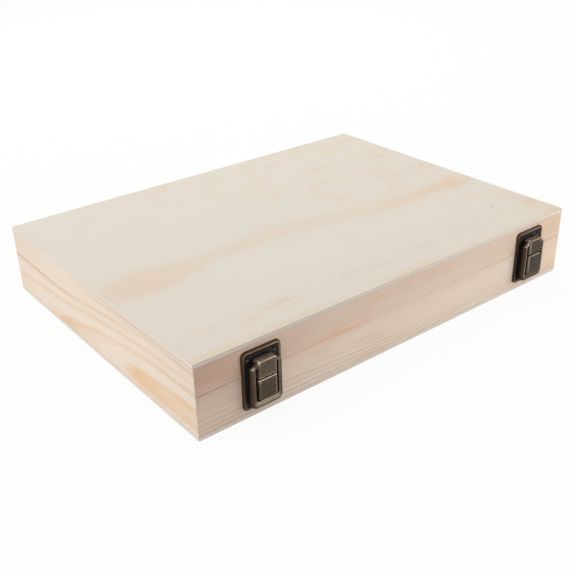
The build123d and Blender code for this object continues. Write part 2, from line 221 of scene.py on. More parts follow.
class Finish:
    """A material, or the world, while its nodes are being made."""

    def __init__(self, owner):
        owner.use_nodes = True
        self.owner = owner
        self.tree = owner.node_tree
        self.tree.nodes.clear()

    def node(self, kind, settings=None, sockets=None, output=0):
        """Adds a node. Settings come first, then the values or wires of its sockets, by name or number."""
        made = self.tree.nodes.new(kind)
        for setting, value in (settings or {}).items():
            if setting == "stops":
                self.set_stops(made.color_ramp, value)
            elif setting == "interpolation":
                made.color_ramp.interpolation = value
            else:
                setattr(made, setting, value)
        for key, value in (sockets or {}).items():
            socket = made.inputs[key]
            if isinstance(value, Wire):
                self.tree.links.new(value.socket, socket)
            elif socket.type == "RGBA":
                socket.default_value = (*value, 1.0)
            else:
                socket.default_value = value
        return Wire(self, made.outputs[output]) if made.outputs else None

    def set_stops(self, ramp, stops):
        """Gives a ramp its stops, each a position and a level from 0 to 1."""
        while len(ramp.elements) < len(stops):
            ramp.elements.new(1)
        for element, (position, level) in zip(ramp.elements, stops):
            element.position = position
            element.color = (level, level, level, 1)

    def maths(self, operation, *values):
        return self.node("ShaderNodeMath", {"operation": operation}, dict(enumerate(values)))

    def hypotenuse(self, first, second):
        return self.maths("SQRT", first * first + second * second)

    def clamped(self, value):
        return self.node("ShaderNodeClamp", {}, {"Value": value})

    def ramp(self, value, stops, interpolation="EASE"):
        """Level between the stops at this value."""
        return self.node("ShaderNodeValToRGB", {"interpolation": interpolation, "stops": stops}, {0: value})

    def curve(self, share, points, longest=100.0):
        """A smooth curve through points of (share, size). Sizes are from 0 to longest."""
        stops = [(position, size / longest) for position, size in points]
        return self.ramp(share, stops, "B_SPLINE") * longest

    def hundredths(self, share, points):
        """A strength from 0 to 1, by a curve through points of (share, hundredths)."""
        return self.curve(share, points) / 100

    def between(self, value, low, high):
        """0 below low and 1 above high, with a soft step from one to the other."""
        settings = {"interpolation_type": "SMOOTHSTEP"}
        sockets = {"Value": value, "From Min": low, "From Max": high}
        return self.node("ShaderNodeMapRange", settings, sockets)

    def below(self, value, low, high):
        """1 below low and 0 above high, with a soft step from one to the other."""
        return 1 - self.between(value, low, high)

    def place(self):
        """The three coordinates of the point being shaded, in millimetres."""
        coordinates = self.node("ShaderNodeTexCoord", output="Object")
        scaled = self.node(
            "ShaderNodeVectorMath", {"operation": "SCALE"}, {"Vector": coordinates, "Scale": 1 / MM}
        )
        return [self.node("ShaderNodeSeparateXYZ", {}, {0: scaled}, output=axis) for axis in range(3)]

    def noise(self, place, sizes, detail=2.0, roughness=0.5, seed=0.0):
        """Smooth noise with an average of 0.5, whose lumps have these sizes along the coordinates."""
        x, y, z = (coordinate / size for coordinate, size in zip(place, sizes))
        position = self.node("ShaderNodeCombineXYZ", {}, {0: x + seed, 1: y, 2: z})
        sockets = {"Vector": position, "Scale": 1.0, "Detail": detail, "Roughness": roughness}
        return self.node("ShaderNodeTexNoise", {}, sockets)

    def mixed(self, share, first, second):
        """The first colour where share is 0 and the second where it is 1."""
        settings = {"data_type": "RGBA", "blend_type": "MIX"}
        return self.node("ShaderNodeMix", settings, {0: share, 6: first, 7: second}, output=2)

    def layered(self, base, *layers):
        """The base colour under layers, each of them a share from 0 to 1 and a colour."""
        for share, layer in layers:
            base = self.mixed(share, base, layer)
        return base

    def surface(self, relief, depth, strength, **sockets):
        """Finishes the material with one surface shader over a bumpy relief of this depth in millimetres.

        Underscores in socket names stand for spaces.
        """
        bump = {"Height": relief, "Distance": depth * MM, "Strength": strength}
        named = {key.replace("_", " "): value for key, value in sockets.items()}
        named["Normal"] = self.node("ShaderNodeBump", {}, bump)
        shader = self.node("ShaderNodeBsdfPrincipled", {}, named)
        self.node("ShaderNodeOutputMaterial", {}, {"Surface": shader})
        return self.owner

    def bare_wood(self, tone, roughness, relief, depth, strength=0.5):
        """Finishes the material as wood without varnish."""
        return self.surface(
            relief, depth, strength, Base_Color=tone, Roughness=roughness, Specular_IOR_Level=0.3, IOR=1.45
        )


def material(name, make):
    """The named material, made by make(finish) the first time that it is asked for."""
    known = bpy.data.materials.get(name)
    return known if known else make(Finish(bpy.data.materials.new(name)))


# ---- wood


# How a board was sawn from its log. Sizes are in millimetres and strengths from 0 to 1. Points are of (share
# of the board's length, size), and where they say so the size is a strength in hundredths.
#
# pith_heights, pith_distances: the pith's height above the box's underside, its distance behind the face
# quiet_radii: the radius beyond which the rings are faint
# first_ring, ring_pitch: the radius of the first ring, and how far apart the rings are
# ring_contrast, ring_shade, ring_waver: how strong the rings are, how dark their crests, how far they stray
# quiet_height, upper_quiet: the height around which the rings fade, and how much they fade above it
# swell: how far the rings are pushed apart near the board's start
# streak_height: the height from which dark streaks show
# blush, far_warmth, upper_toast: the pinkish cast, the far end's warmth, the toasting of the upper edge
# heart_tones, toasting: hundredths of warmth inside the first ring, and of darker wood towards the
# ends, with painted shade at the front board's left end
# seam_marks, resin_marks: hundredths of the reddish painted shade beside the seam, and of the orange
# streak in it
# seam_bow: the lower it is, the nearer to its ends the seam closes up
# seed: moves the board's noise along
Sawing = namedtuple(
    "Sawing",
    "pith_heights pith_distances quiet_radii first_ring ring_pitch ring_contrast ring_shade ring_waver "
    "quiet_height upper_quiet swell streak_height blush far_warmth upper_toast heart_tones toasting "
    "seam_marks resin_marks seam_bow seed",
)

NOTHING = ((0, 0), (1, 0))
RIGHT_BOARD = Sawing(
    pith_heights=((0, 34), (0.5, 29), (1, 20)),
    pith_distances=((0, 20), (0.4, 22), (0.7, 27), (1, 29)),
    quiet_radii=((0, 99), (1, 99)),
    first_ring=21, ring_pitch=4.4, ring_contrast=0.8, ring_shade=0.15, ring_waver=1.6,
    quiet_height=-60, upper_quiet=0, swell=1.5, streak_height=47,
    blush=0.4, far_warmth=0, upper_toast=0.08,
    heart_tones=NOTHING, toasting=((0, 4), (0.5, 0), (1, 8)),
    seam_marks=((0, 18), (0.5, 6), (1, 18)), resin_marks=NOTHING, seam_bow=0.6, seed=8.9,
)
SAWINGS = {
    "right": RIGHT_BOARD,
    "back": RIGHT_BOARD._replace(
        pith_heights=((0, 12), (0.5, 18), (1, 22)),
        pith_distances=((0, 28), (0.35, 25), (0.65, 18), (1, 16)),
        first_ring=17, ring_pitch=3.7, ring_contrast=0.75, ring_shade=0.2, ring_waver=1.8,
        swell=1, streak_height=46, blush=0.3, toasting=((0, 6), (0.5, 0), (1, 6)), seed=12.4,
    ),
    "left": RIGHT_BOARD._replace(
        pith_heights=((0, 0), (0.06, 0.3), (0.5, 8.1), (1, 17)),
        pith_distances=((0, 31.8), (0.14, 31.2), (0.25, 30.2), (0.35, 29.4), (0.46, 28.1), (0.57, 26.6),
                        (0.66, 24.6), (0.76, 23.4), (1, 23.1)),
        quiet_radii=((0, 43.5), (0.6, 43.5), (0.75, 38), (1, 34)),
        first_ring=24.7, ring_pitch=5.45, ring_contrast=0.82, ring_shade=0.05, ring_waver=1.2,
        swell=5.5, streak_height=44.5, blush=0.1, upper_toast=0.04,
        heart_tones=((0, 0), (0.62, 0), (0.69, 75), (0.78, 42), (0.9, 20), (1, 24)),
        toasting=((0, 15), (0.15, 7), (0.3, 2), (0.75, 1), (0.9, 7), (1, 15)),
        seam_marks=((0, 34), (0.2, 26), (0.4, 8), (1, 4)), seam_bow=0.2, seed=1.7,
    ),
    "front": RIGHT_BOARD._replace(
        pith_heights=((0, 25), (0.4, 24), (0.6, 27), (0.8, 36), (1, 50)),
        pith_distances=((0, 12), (0.25, 12), (0.5, 5), (0.75, 3), (1, 4)),
        first_ring=13, ring_pitch=2.85, ring_contrast=0.36, ring_shade=1.5, ring_waver=2.6,
        quiet_height=23, upper_quiet=0.5, swell=0, streak_height=90,
        blush=0.8, far_warmth=0.32, upper_toast=0.17,
        toasting=((0, 58), (0.1, 46), (0.2, 18), (0.35, 8), (0.6, 2), (0.9, 0), (1, 4)),
        seam_marks=((0, 38), (0.08, 24), (0.13, 4), (0.25, 10), (0.4, 3), (0.7, 0), (0.8, 24),
                    (0.9, 16), (0.96, 26), (1, 20)),
        resin_marks=((0, 0), (0.18, 0), (0.26, 26), (0.33, 48), (0.39, 20), (0.46, 0), (1, 0)),
        seam_bow=0.45, seed=5.2,
    ),
}

# Level of latewood across one ring, from its inner edge to its outer edge.
RING_PROFILE = [(0, 0.85), (0.05, 0.35), (0.13, 0), (0.4, 0), (0.55, 0.16), (0.72, 0.5), (0.9, 0.9), (1, 1)]

# What the shading of a board needs: millimetres along it, into it and up, and the share of its length.
BoardPlace = namedtuple("BoardPlace", "along depth z share")

# The tones of a board that follow its log, from 0 to 1, and the ripple of its grain, from -0.5 to 0.5.
Grain = namedtuple("Grain", "latewood crest hairs heart cloud ripple")


def board_place(wood, side):
    """Where the point being shaded lies in a side's board."""
    start, run, inward = board_frame(side)
    place = wood.place()

    def distance(way):
        axis = 0 if way.x else 1
        return (place[axis] - start[axis] / MM) * way[axis]

    along = distance(run)
    return BoardPlace(along, distance(inward), place[2], wood.clamped(along / (-2 * start.dot(run) / MM)))


def board_grain(wood, sawing, at):
    """The growth rings where the board's surface cuts them, and the hairlines between them."""
    here = (at.along, at.depth, at.z)
    waver = wood.noise(here, (60, 16, 14), seed=sawing.seed) - 0.5
    ripple = wood.noise(here, (11, 4, 4), seed=sawing.seed) - 0.5
    cloud = wood.noise(here, (45, 12, 11), 3.0, seed=sawing.seed)
    behind = wood.curve(at.share, sawing.pith_distances) - at.depth
    above = at.z - wood.curve(at.share, sawing.pith_heights)
    swell = sawing.swell * wood.between(at.z, 20, 30) * wood.below(at.share, 0, 0.3)
    radius = wood.hypotenuse(behind, above) - swell
    strayed = radius + waver * sawing.ring_waver + ripple * 0.55
    rings = (strayed - sawing.first_ring) / sawing.ring_pitch
    ring_share = wood.maths("FRACT", rings)
    ring_number = {"W": wood.maths("FLOOR", rings)}
    ring_tone = wood.node("ShaderNodeTexWhiteNoise", {"noise_dimensions": "1D"}, ring_number)

    clear = 0.25 + 0.75 * wood.between(abs(at.z - sawing.quiet_height), 4.0, 13.0)
    clear = clear * (1 - sawing.upper_quiet * wood.between(at.z, 16, 30))
    past_quiet = radius - wood.curve(at.share, sawing.quiet_radii)
    clear = clear * (1 - 0.8 * wood.between(past_quiet, -2.0, 1.0))
    hairs = wood.noise((at.along, radius, sawing.seed), (90, 1 / 2.4, 1), 2.0, 0.6, sawing.seed)
    hairs = wood.between(hairs, 0.42, 0.68)
    latewood = wood.ramp(ring_share, RING_PROFILE) * clear * sawing.ring_contrast
    latewood = latewood * (0.65 + 0.35 * ring_tone) * (0.55 + 0.9 * cloud) * (0.85 + 0.3 * hairs)
    return Grain(
        latewood=latewood,
        crest=wood.between(ring_share, 0.72, 0.94) * latewood,
        hairs=hairs,
        heart=wood.below(rings, -0.12, 0.0) * wood.hundredths(at.share, sawing.heart_tones),
        cloud=cloud,
        ripple=ripple,
    )


def pine(side):
    """Solid pine for one side of the box. The lid's rail and the wall below it are from the same board."""
    look = bpy.context.scene.brush_box_wood
    sawing = SAWINGS[side]
    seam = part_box("lid_left_rail")[0].z / MM

    def make(wood):
        at = board_place(wood, side)
        here = (at.along, at.depth, at.z)
        grain = board_grain(wood, sawing, at)
        fibre = wood.noise(here, (9, 0.35, 0.35), 3.0, 0.65)
        fleck = wood.between(wood.noise(here, (2.2, 0.22, 0.22), 0.0), 0.7, 0.8)
        leaning = (at.along, at.depth, at.z - 0.02 * at.along)
        streak = wood.noise(leaning, (70, 1.4, 0.6), 1.0, seed=sawing.seed)
        streaked = wood.between(streak, 0.47, 0.6) * wood.between(at.share, 0.3, 0.65)
        streaked = streaked * wood.between(at.z, sawing.streak_height, sawing.streak_height + 3)
        warm = wood.between(grain.cloud, 0.35, 0.75)
        upper = wood.between(at.z, 10, 50)
        # 1 near the board's outer face and 0 a little way in, so that the painted shade, the seam's painted
        # shade and the resin streak keep to the outer face.
        at_outer_face = wood.below(at.depth, 0.3, 1.5)

        # Painted shade along the seam, and the orange resin streak beside it.
        off_seam = abs(at.z - seam + 0.5 * grain.ripple)
        seam_shading = wood.below(off_seam, 0.2, 0.8) * wood.hundredths(at.share, sawing.seam_marks)
        resin_mark = wood.below(off_seam, 0.3, 5.0) * wood.hundredths(at.share, sawing.resin_marks)
        # Darker towards the ends: darker wood, and painted shade at the front board's left end.
        toasting = wood.hundredths(at.share, sawing.toasting) * (0.75 + 0.35 * upper)
        toasting = toasting * (0.8 + 0.4 * grain.cloud) + sawing.upper_toast * upper
        far_warmth = sawing.far_warmth * wood.between(at.share, 0.84, 0.97)
        ring_warmth = wood.clamped(grain.latewood + grain.heart + 0.1 * warm + far_warmth)
        tone = wood.layered(
            look.earlywood,
            (sawing.blush * (0.2 + 0.3 * warm + 0.5 * upper), look.blush),
            (ring_warmth, look.latewood),
            (sawing.ring_shade * grain.crest, look.crest),
            (look.hair_strength * grain.hairs * (1 - grain.heart), look.hair),
            (wood.clamped(toasting * (0.3 + 0.7 * at_outer_face)), look.toast),
            (look.streak_strength * streaked, look.streak),
            (look.fibre_strength * fibre, look.fibre),
            (look.fleck_strength * fleck, look.fleck),
            (resin_mark * (0.3 + 0.7 * at_outer_face), look.resin),
            (seam_shading * at_outer_face, look.seam_shade),
        )
        return wood.bare_wood(tone, 0.7 - 0.1 * grain.latewood, fibre + 0.6 * grain.latewood, 0.03, 0.6)

    return material(f"pine_{side}", make)


# The lid's face, as points of (share of the length from the left, size). The broad warm band has a height
# above the front edge and a half width in millimetres, and the other sizes are strengths in hundredths.
BAND_PLACES = ((0, 107), (0.16, 107), (0.26, 111), (0.42, 116), (0.53, 110), (0.64, 99), (0.8, 95), (1, 98))
BAND_SPREADS = ((0, 22), (0.13, 24), (0.22, 8), (0.3, 12), (0.45, 14), (0.6, 11), (1, 11))
BAND_STRENGTHS = ((0, 45), (0.1, 95), (0.2, 30), (0.3, 52), (0.45, 45), (0.6, 24), (0.75, 50),
                  (0.92, 95), (1, 50))
STREAK_WARMTHS = ((0, 30), (0.1, 20), (0.18, 60), (0.24, 90), (0.29, 20), (0.34, 0), (0.88, 0),
                  (0.96, 70), (1, 60))
STREAK_GREYS = ((0, 0), (0.28, 0), (0.34, 60), (0.48, 70), (0.6, 45), (0.75, 50), (0.82, 10), (1, 0))
EDGE_GLOWS = ((0, 55), (0.28, 60), (0.36, 5), (0.43, 5), (0.48, 75), (0.57, 70), (0.62, 5),
              (0.88, 10), (1, 60))

# In millimetres: the top of the scale of the band's heights, the distance of the streaks from the front edge,
# and one fleck of pitch, with its place as (x, distance from the front edge).
HIGHEST_BAND = 200
STREAKS_FROM_FRONT = 24
PITCH_FLECK = (136, 39)
PITCH_FLECK_SIZE = (2.4, 0.9)


def across_box(wood, x, y):
    """The share of the box's length from its left end, and the distance from its front in millimetres."""
    return wood.clamped((x * MM + HALF_LENGTH) / (2 * HALF_LENGTH)), y + HALF_DEPTH / MM


def veneer(name, seed):
    """Face of a plywood panel: pale rotary-cut pine with broad, cloudy bands along its length."""
    look = bpy.context.scene.brush_box_wood

    def make(wood):
        x, y, z = wood.place()
        share, from_front = across_box(wood, x, y)
        from_right = HALF_LENGTH / MM - x
        to_back_right = wood.between(x * 0.8 + y, -90, 170)

        def noise(length, width, layer, detail=3.0, roughness=0.5):
            return wood.noise((x, y, seed + layer), (length, width, 1), detail, roughness, seed)

        drift = noise(38, 22, 0) - 0.5
        above_band = from_front - wood.curve(share, BAND_PLACES, HIGHEST_BAND) + drift * 9
        off_band = above_band / wood.curve(share, BAND_SPREADS)
        band = wood.below(off_band, 0.1, 1.3) * wood.between(off_band, -1.05, -0.3)
        band = band * wood.hundredths(share, BAND_STRENGTHS) * (0.55 + 0.9 * noise(26, 9, 1))
        halo = wood.below(abs(off_band), 0.5, 2.6)
        clouds = wood.between(noise(42, 30, 2), 0.42, 0.68)
        spots = wood.between(noise(34, 24, 5, roughness=0.6), 0.47, 0.76)
        right_corner = wood.below(from_right, 4, 28) * wood.below(from_front, 25, 70)
        figure = wood.clamped(band + spots * (0.08 + 0.6 * to_back_right) + 0.45 * right_corner)
        sap = (0.12 + 0.88 * to_back_right) * (0.3 + 0.7 * clouds) + 0.3 * halo
        sap = wood.clamped(sap + 0.35 * wood.below(from_front, 5, 70))
        streaked = wood.between(noise(26, 2.3, 0, detail=1.0), 0.48, 0.66)
        streaked = streaked * wood.below(abs(from_front - STREAKS_FROM_FRONT + drift * 16), 1.0, 11.0)
        edge_glow = wood.below(from_front + drift * 6, 2, 9) * wood.hundredths(share, EDGE_GLOWS)
        from_fleck = wood.hypotenuse(
            (x - PITCH_FLECK[0]) / PITCH_FLECK_SIZE[0], (from_front - PITCH_FLECK[1]) / PITCH_FLECK_SIZE[1]
        )
        fibre = wood.noise((x, y, z), (14, 0.45, 0.45), 3.0, 0.6)
        face = wood.layered(
            look.veneer,
            (sap, look.veneer_sap),
            (figure, look.veneer_figure),
            (streaked * wood.hundredths(share, STREAK_WARMTHS), look.veneer_streak),
            (0.8 * edge_glow, look.veneer_glow),
            (0.42 * streaked * wood.hundredths(share, STREAK_GREYS), look.veneer_grey),
            (0.55 * wood.below(from_fleck, 0.4, 1.5), look.pitch),
            (0.07 * fibre, look.veneer_fibre),
        )
        return wood.bare_wood(face, 0.68 - 0.06 * figure, fibre, 0.02)

    return material(name, make)


# The thickness of the outer plies and the reach of a hairline to each side, in millimetres.
FACE_PLY = 0.75
HAIRLINE = 0.09


def plywood_edge(name, bottom, top, front_edge_shade):
    """Sawn edge of a three-ply panel between two heights, with a hairline at each glue joint.

    front_edge_shade is how much painted shade, in grey, the front edge has at its left end.
    """
    look = bpy.context.scene.brush_box_wood

    def make(wood):
        x, y, z = wood.place()
        share, from_front = across_box(wood, x, y)
        waver = (wood.noise((x, y, z), (9, 9, 3)) - 0.5) * 0.22
        depth = wood.maths("MINIMUM", z - bottom / MM, top / MM - z) + waver
        line = wood.below(abs(depth - FACE_PLY), 0.0, HAIRLINE)
        joint = wood.below(abs(depth - 0.02), 0.0, HAIRLINE)
        crumb = wood.noise((x, y, z), (0.5, 0.5, 0.3), 3.0, 0.7)
        layers = wood.noise((x, y, z), (30, 30, 0.3), 1.0)
        edge = wood.layered(
            look.ply_face,
            (wood.between(depth, FACE_PLY - 0.03, FACE_PLY + 0.03), look.ply_core),
            (wood.clamped(line + 0.9 * joint), look.glue_line),
            (0.16 * layers, look.ply_layer),
            # Painted shade on the front edge, strongest at its left end.
            (front_edge_shade * wood.below(from_front, 0.3, 1.2) * (1 - 0.85 * share), look.ply_edge_shade),
        )
        return wood.bare_wood(edge, 0.76 - 0.05 * layers, crumb + layers, 0.05)

    return material(name, make)


# ---- brass


def antique_brass():
    """Brass with a brown patina, blackened in recesses, rubbed at edges, with painted shade and highlights.
    """
    look = bpy.context.scene.brush_box_brass

    def make(metal):
        x, y, z = metal.place()
        # The mesh's two attributes: wear together with painted highlights, and blackening together with
        # painted shade.
        worn, recess = (
            metal.node("ShaderNodeAttribute", {"attribute_name": name}, output="Fac")
            for name in ("worn", "recess")
        )
        clouds = metal.noise((x, y, z), (2.4, 2.4, 2.4), 4.0, 0.6)
        specks = metal.noise((x, y, z), (0.5, 0.5, 0.5), 2.0, 0.6)
        brushed = metal.noise((x, y, z), (0.25, 0.25, 3.0), 2.0, 0.6)
        smears = metal.noise((x + 0.52 * z, y, z), (2.6, 1.2, 1.1), 3.0, 0.6)
        rubbed_and_sheen = metal.clamped(worn * (0.42 + 0.8 * metal.between(clouds + 0.3 * specks, 0.42, 0.88)))
        shaded = metal.between(clouds + 0.25 * specks, 0.52, 0.78)
        # The right latch's face is darker: tarnish, and painted shade where it reflects less light.
        on_right_latch = metal.between(x, 60, 110)
        # Painted shade on the latches' lower halves, weaker on the right latch.
        shaded_lower_half = metal.below(z, 26, 30) * metal.below(y, -20, 20) * (1 - 0.65 * on_right_latch)
        smeared = metal.between(smears, 0.46, 0.7) * (0.9 - 0.8 * metal.between(recess, 0.93, 1.0))
        skin = metal.layered(
            look.patina,
            (on_right_latch, look.tarnish_and_shade),
            (look.cloud_strength * shaded, look.shade),
            (look.brushing * brushed, look.rubbed_and_sheen),
            (look.painted_shade * shaded_lower_half, look.soot_and_shadow),
            # The blackening is real blackening in the recesses, and painted shade on the sides and under the
            # frame.
            (metal.between(recess, 0, 0.5), look.shade),
            (metal.between(recess, 0.5, 1.0), metal.mixed(smeared, look.soot_and_shadow, look.slate)),
            (rubbed_and_sheen, look.rubbed_and_sheen),
        )
        return metal.surface(
            brushed + specks, 0.02, 0.5,
            Base_Color=skin,
            Metallic=0.95 - 0.3 * recess,
            Roughness=metal.clamped(0.36 + 0.14 * specks + 0.2 * recess - 0.08 * rubbed_and_sheen),
        )

    return material("aged_brass", make)


# ---- mesh building


SHARP_ANGLE = math.radians(32)

# The two long sides of the box that carry fittings, as the direction that each faces along Y.
FRONT = -1
BACK = 1

# A point of a fitting: its place, and from 0 to 1 its wear with painted highlight and its blackening with
# painted shade.
Spot = namedtuple("Spot", "place worn recess", defaults=(0.0, 0.0))


class Shell:
    """Collects closed forms into the mesh of one piece."""

    def __init__(self):
        self.mesh = bmesh.new()
        self.worn = self.mesh.verts.layers.float.new("worn")
        self.recess = self.mesh.verts.layers.float.new("recess")

    def vertex(self, spot):
        made = self.mesh.verts.new(spot.place)
        made[self.worn] = spot.worn
        made[self.recess] = spot.recess
        return made

    def skin(self, rings, closed_rings=True, closed_loop=False):
        """Faces between each ring of spots and the next. The end rings are capped or joined up."""
        rows = [[self.vertex(spot) for spot in ring] for ring in rings]
        pairs = list(zip(rows, rows[1:]))
        if closed_loop:
            pairs.append((rows[-1], rows[0]))
        count = len(rows[0])
        for low, high in pairs:
            for i in range(count if closed_rings else count - 1):
                after = (i + 1) % count
                self.mesh.faces.new((low[i], low[after], high[after], high[i]))
        if not closed_loop:
            self.mesh.faces.new(reversed(rows[0]))
            self.mesh.faces.new(rows[-1])
        return rows

    def piece(self, node, slot, *finish):
        """The finished mesh as an object that stands for a node, rides on its body and takes a finish."""
        bmesh.ops.recalc_face_normals(self.mesh, faces=self.mesh.faces[:])
        data = bpy.data.meshes.new(f"finished_{node}")
        self.mesh.to_mesh(data)
        self.mesh.free()
        data.shade_smooth()
        data.set_sharp_from_angle(angle=SHARP_ANGLE)
        made = bpy.data.objects.new(f"finished_{node}", data)
        bpy.context.scene.collection.objects.link(made)
        for layer in finish:
            data.materials.append(layer)
        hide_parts(node)
        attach(made, body_of(node))
        return made

    def fitting(self, node):
        """The finished mesh as a piece of antique brass."""
        return self.piece(node, "antique_brass", antique_brass())


def body_of(node):
    """Name of the body that a node belongs to."""
    bodies = frame["record"]["behaviour"]["bodies"]
    return next(body for body, nodes in bodies.items() if node in nodes)


def middle_of(node):
    """Middle of a node's box."""
    low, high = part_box(node)
    return (low + high) / 2


def half_width_of(node):
    """Half the length of a node's box along X."""
    low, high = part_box(node)
    return (high.x - low.x) / 2


def on_face(facing, x, height, proud):
    """A place in front of the wood by proud, on the side that faces this way."""
    return Vector((x, facing * (HALF_DEPTH + proud), height))


def proud_of(facing, y):
    """How far this y lies in front of the wood, on the side that faces this way."""
    return facing * y - HALF_DEPTH


def limited(value):
    """The value, kept from 0 to 1."""
    return min(max(value, 0.0), 1.0)


def arc(centre, radius, start, end, steps):
    """Points on a flat arc between two angles in degrees, both ends included."""
    angles = [math.radians(start + (end - start) * i / steps) for i in range(steps + 1)]
    return [(centre[0] + radius * math.cos(a), centre[1] + radius * math.sin(a)) for a in angles]


def worn_and_sheened_arc(centre, radius, start, end, steps, peak_wear_and_sheen, crest=0.5, breadth=0.55, end_blackening_and_shade=(0.0, 0.0)):
    """An arc over an edge as (x, y, wear with painted highlight, blackening with painted shade).

    The wear and painted highlight is greatest at crest, a share of the way along, and the last argument gives
    the blackening and painted shade at the two ends.
    """
    made = []
    for i, (x, y) in enumerate(arc(centre, radius, start, end, steps)):
        share = i / steps
        worn = peak_wear_and_sheen * limited(1 - abs(share - crest) / breadth)
        made.append((x, y, worn, end_blackening_and_shade[0] + (end_blackening_and_shade[1] - end_blackening_and_shade[0]) * share))
    return made


def rounded(points, radii, steps=5, closed=True):
    """An outline with each corner replaced by an arc of its radius. The ends of an open one stay sharp."""
    made = []
    count = len(points)
    for i, (point, radius) in enumerate(zip(points, radii)):
        here = Vector(point)
        if radius <= 0 or (not closed and i in (0, count - 1)):
            made.append(here)
            continue
        before = (Vector(points[i - 1]) - here).normalized()
        after = (Vector(points[(i + 1) % count]) - here).normalized()
        half_angle = before.angle(after) / 2
        reach = radius / math.tan(half_angle)
        centre = here + (before + after).normalized() * radius / math.sin(half_angle)
        first = here + before * reach - centre
        last = here + after * reach - centre
        turn = first.angle_signed(last)
        for step in range(steps + 1):
            made.append(centre + Matrix.Rotation(-turn * step / steps, 2) @ first)
    return made


def mirrored(points, radii):
    """An outline and its corner radii, each continued by its mirror image across the middle."""
    return points + [(-x, z) for x, z in reversed(points)], radii + radii[::-1]


# ---- boards and panels


# The steps along a board and round an edge, the least radius of a panel's corner, and how level a part of a
# panel is, from 0 to 1, before it counts as the panel's face.
BOARD_COLUMNS = 36
CORNER_STEPS = 3
LEAST_CORNER = 0.05 * MM
FACE_TILT = 0.6


def board_frame(side):
    """Where a side's outer face starts, the way it runs and the way into the wood."""
    run = Vector((*RUNS[side], 0))
    inward = Vector((-run.y, run.x, 0))
    start = Vector((-(run.x + inward.x) * HALF_LENGTH, -(run.y + inward.y) * HALF_DEPTH, 0))
    return start, run, inward


def seam_stray(share, side, limit):
    """How far a seam edge strays at this share of a board's length: least at the ends."""
    sawing = SAWINGS[side]
    bow = math.sin(math.pi * share) ** sawing.seam_bow
    slow, quick = math.sin(9 * share + sawing.seed), math.sin(23 * share + 2 * sawing.seed)
    return limit * bow * (0.89 + 0.07 * slow + 0.04 * quick)


def board(node, side, seam_on_top):
    """A mitred board with a softened corner at each end. Its seam edge strays a little."""
    look = bpy.context.scene.brush_box_wood
    start, run, inward = board_frame(side)
    low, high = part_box(node)
    extent = high - low
    run_length = abs(extent.dot(run))
    thickness = abs(extent.dot(inward))
    corner = look.corner_rounding
    edge = look.joint_rounding

    # The section across the board, as (depth, height).
    inner, upper = thickness - edge, extent.z - edge
    section = []
    for turn, centre in enumerate(((edge, edge), (inner, edge), (inner, upper), (edge, upper))):
        section += arc(centre, edge, 180 + 90 * turn, 270 + 90 * turn, CORNER_STEPS)

    # Where the sections stand, as (distance along the outer face, inset from it).
    first_end = arc((corner, corner), corner, 225, 270, CORNER_STEPS)
    flat = [(corner + (run_length - 2 * corner) * i / BOARD_COLUMNS, 0.0) for i in range(1, BOARD_COLUMNS)]
    last_end = [(run_length - x, y) for x, y in reversed(first_end)]
    mitre = first_end[0][0]

    rings = []
    for reach, face in first_end + flat + last_end:
        share = (reach - mitre) / (run_length - 2 * mitre)
        inner_reach = thickness + share * (run_length - 2 * thickness)
        stray = seam_stray(share, side, look.seam_wander)
        ring = []
        for depth, height in section:
            across = depth / thickness
            place = start + run * (reach + (inner_reach - reach) * across)
            place += inward * (face + (thickness - face) * across)
            if seam_on_top and height > extent.z / 2:
                height += stray
            if not seam_on_top and height < extent.z / 2:
                height -= stray
            ring.append(Spot((place.x, place.y, low.z + height)))
        rings.append(ring)
    shell = Shell()
    shell.skin(rings)
    return shell.piece(node, "pine", pine(side))


def panel(node, top_rounding, bottom_rounding, front_edge_shade):
    """A plywood panel with softened edges: veneer on its faces and plies on its edge."""
    corner = bpy.context.scene.brush_box_wood.corner_rounding
    low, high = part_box(node)

    def ring(inset, height):
        half_x, half_y = high.x - inset, high.y - inset
        corners = [(-half_x, -half_y), (half_x, -half_y), (half_x, half_y), (-half_x, half_y)]
        radius = max(corner - inset, LEAST_CORNER)
        return [Spot((p.x, p.y, height)) for p in rounded(corners, [radius] * 4, 6)]

    levels = arc((bottom_rounding, low.z + bottom_rounding), bottom_rounding, 270, 180, 4)
    levels += arc((top_rounding, high.z - top_rounding), top_rounding, 180, 90, 4)
    shell = Shell()
    shell.skin([ring(inset, height) for inset, height in levels])
    face_finish = veneer(f"veneer_{node}", low.z / MM)
    edge_finish = plywood_edge(f"plies_{node}", low.z, high.z, front_edge_shade)
    made = shell.piece(node, "plywood", face_finish, edge_finish)
    for face in made.data.polygons:
        face.material_index = 0 if abs(face.normal.z) > FACE_TILT else 1
    return made


# ---- plates of the latches


SHEET = 0.9 * MM

# The rolled rim of a plate. RIM_SHINE is the width of the wear and painted highlight on its top, which fades
# away over RIM_FADE down the sides, and RIM_FOOT and RIM_FOOT_HEIGHT are the fillet where it meets the sheet.
# The sheet has painted shade at the rim's foot, is lightest at the first of the RIM_SHADOWS from the rim, as
# a painted reflection of the rim's inner wall, and is black from the second on.
RIM_WIDTH = 2.0 * MM
RIM_HEIGHT = 1.7 * MM
RIM_INNER_ROUND = 0.5 * MM
RIM_SHINE = 0.35 * MM
RIM_FOOT = 0.06 * MM
RIM_FOOT_HEIGHT = 0.15 * MM
RIM_SHADOWS = (0.3 * MM, 1.1 * MM)
RIM_FADE = 4.0 * MM
PLATE_CORNER = 3.6 * MM
LEAST_PLATE_CORNER = 0.4 * MM
PLATE_NIP = 0.9 * MM
LEAST_NIP = 0.02 * MM
STRIP_EDGE = 0.12 * MM

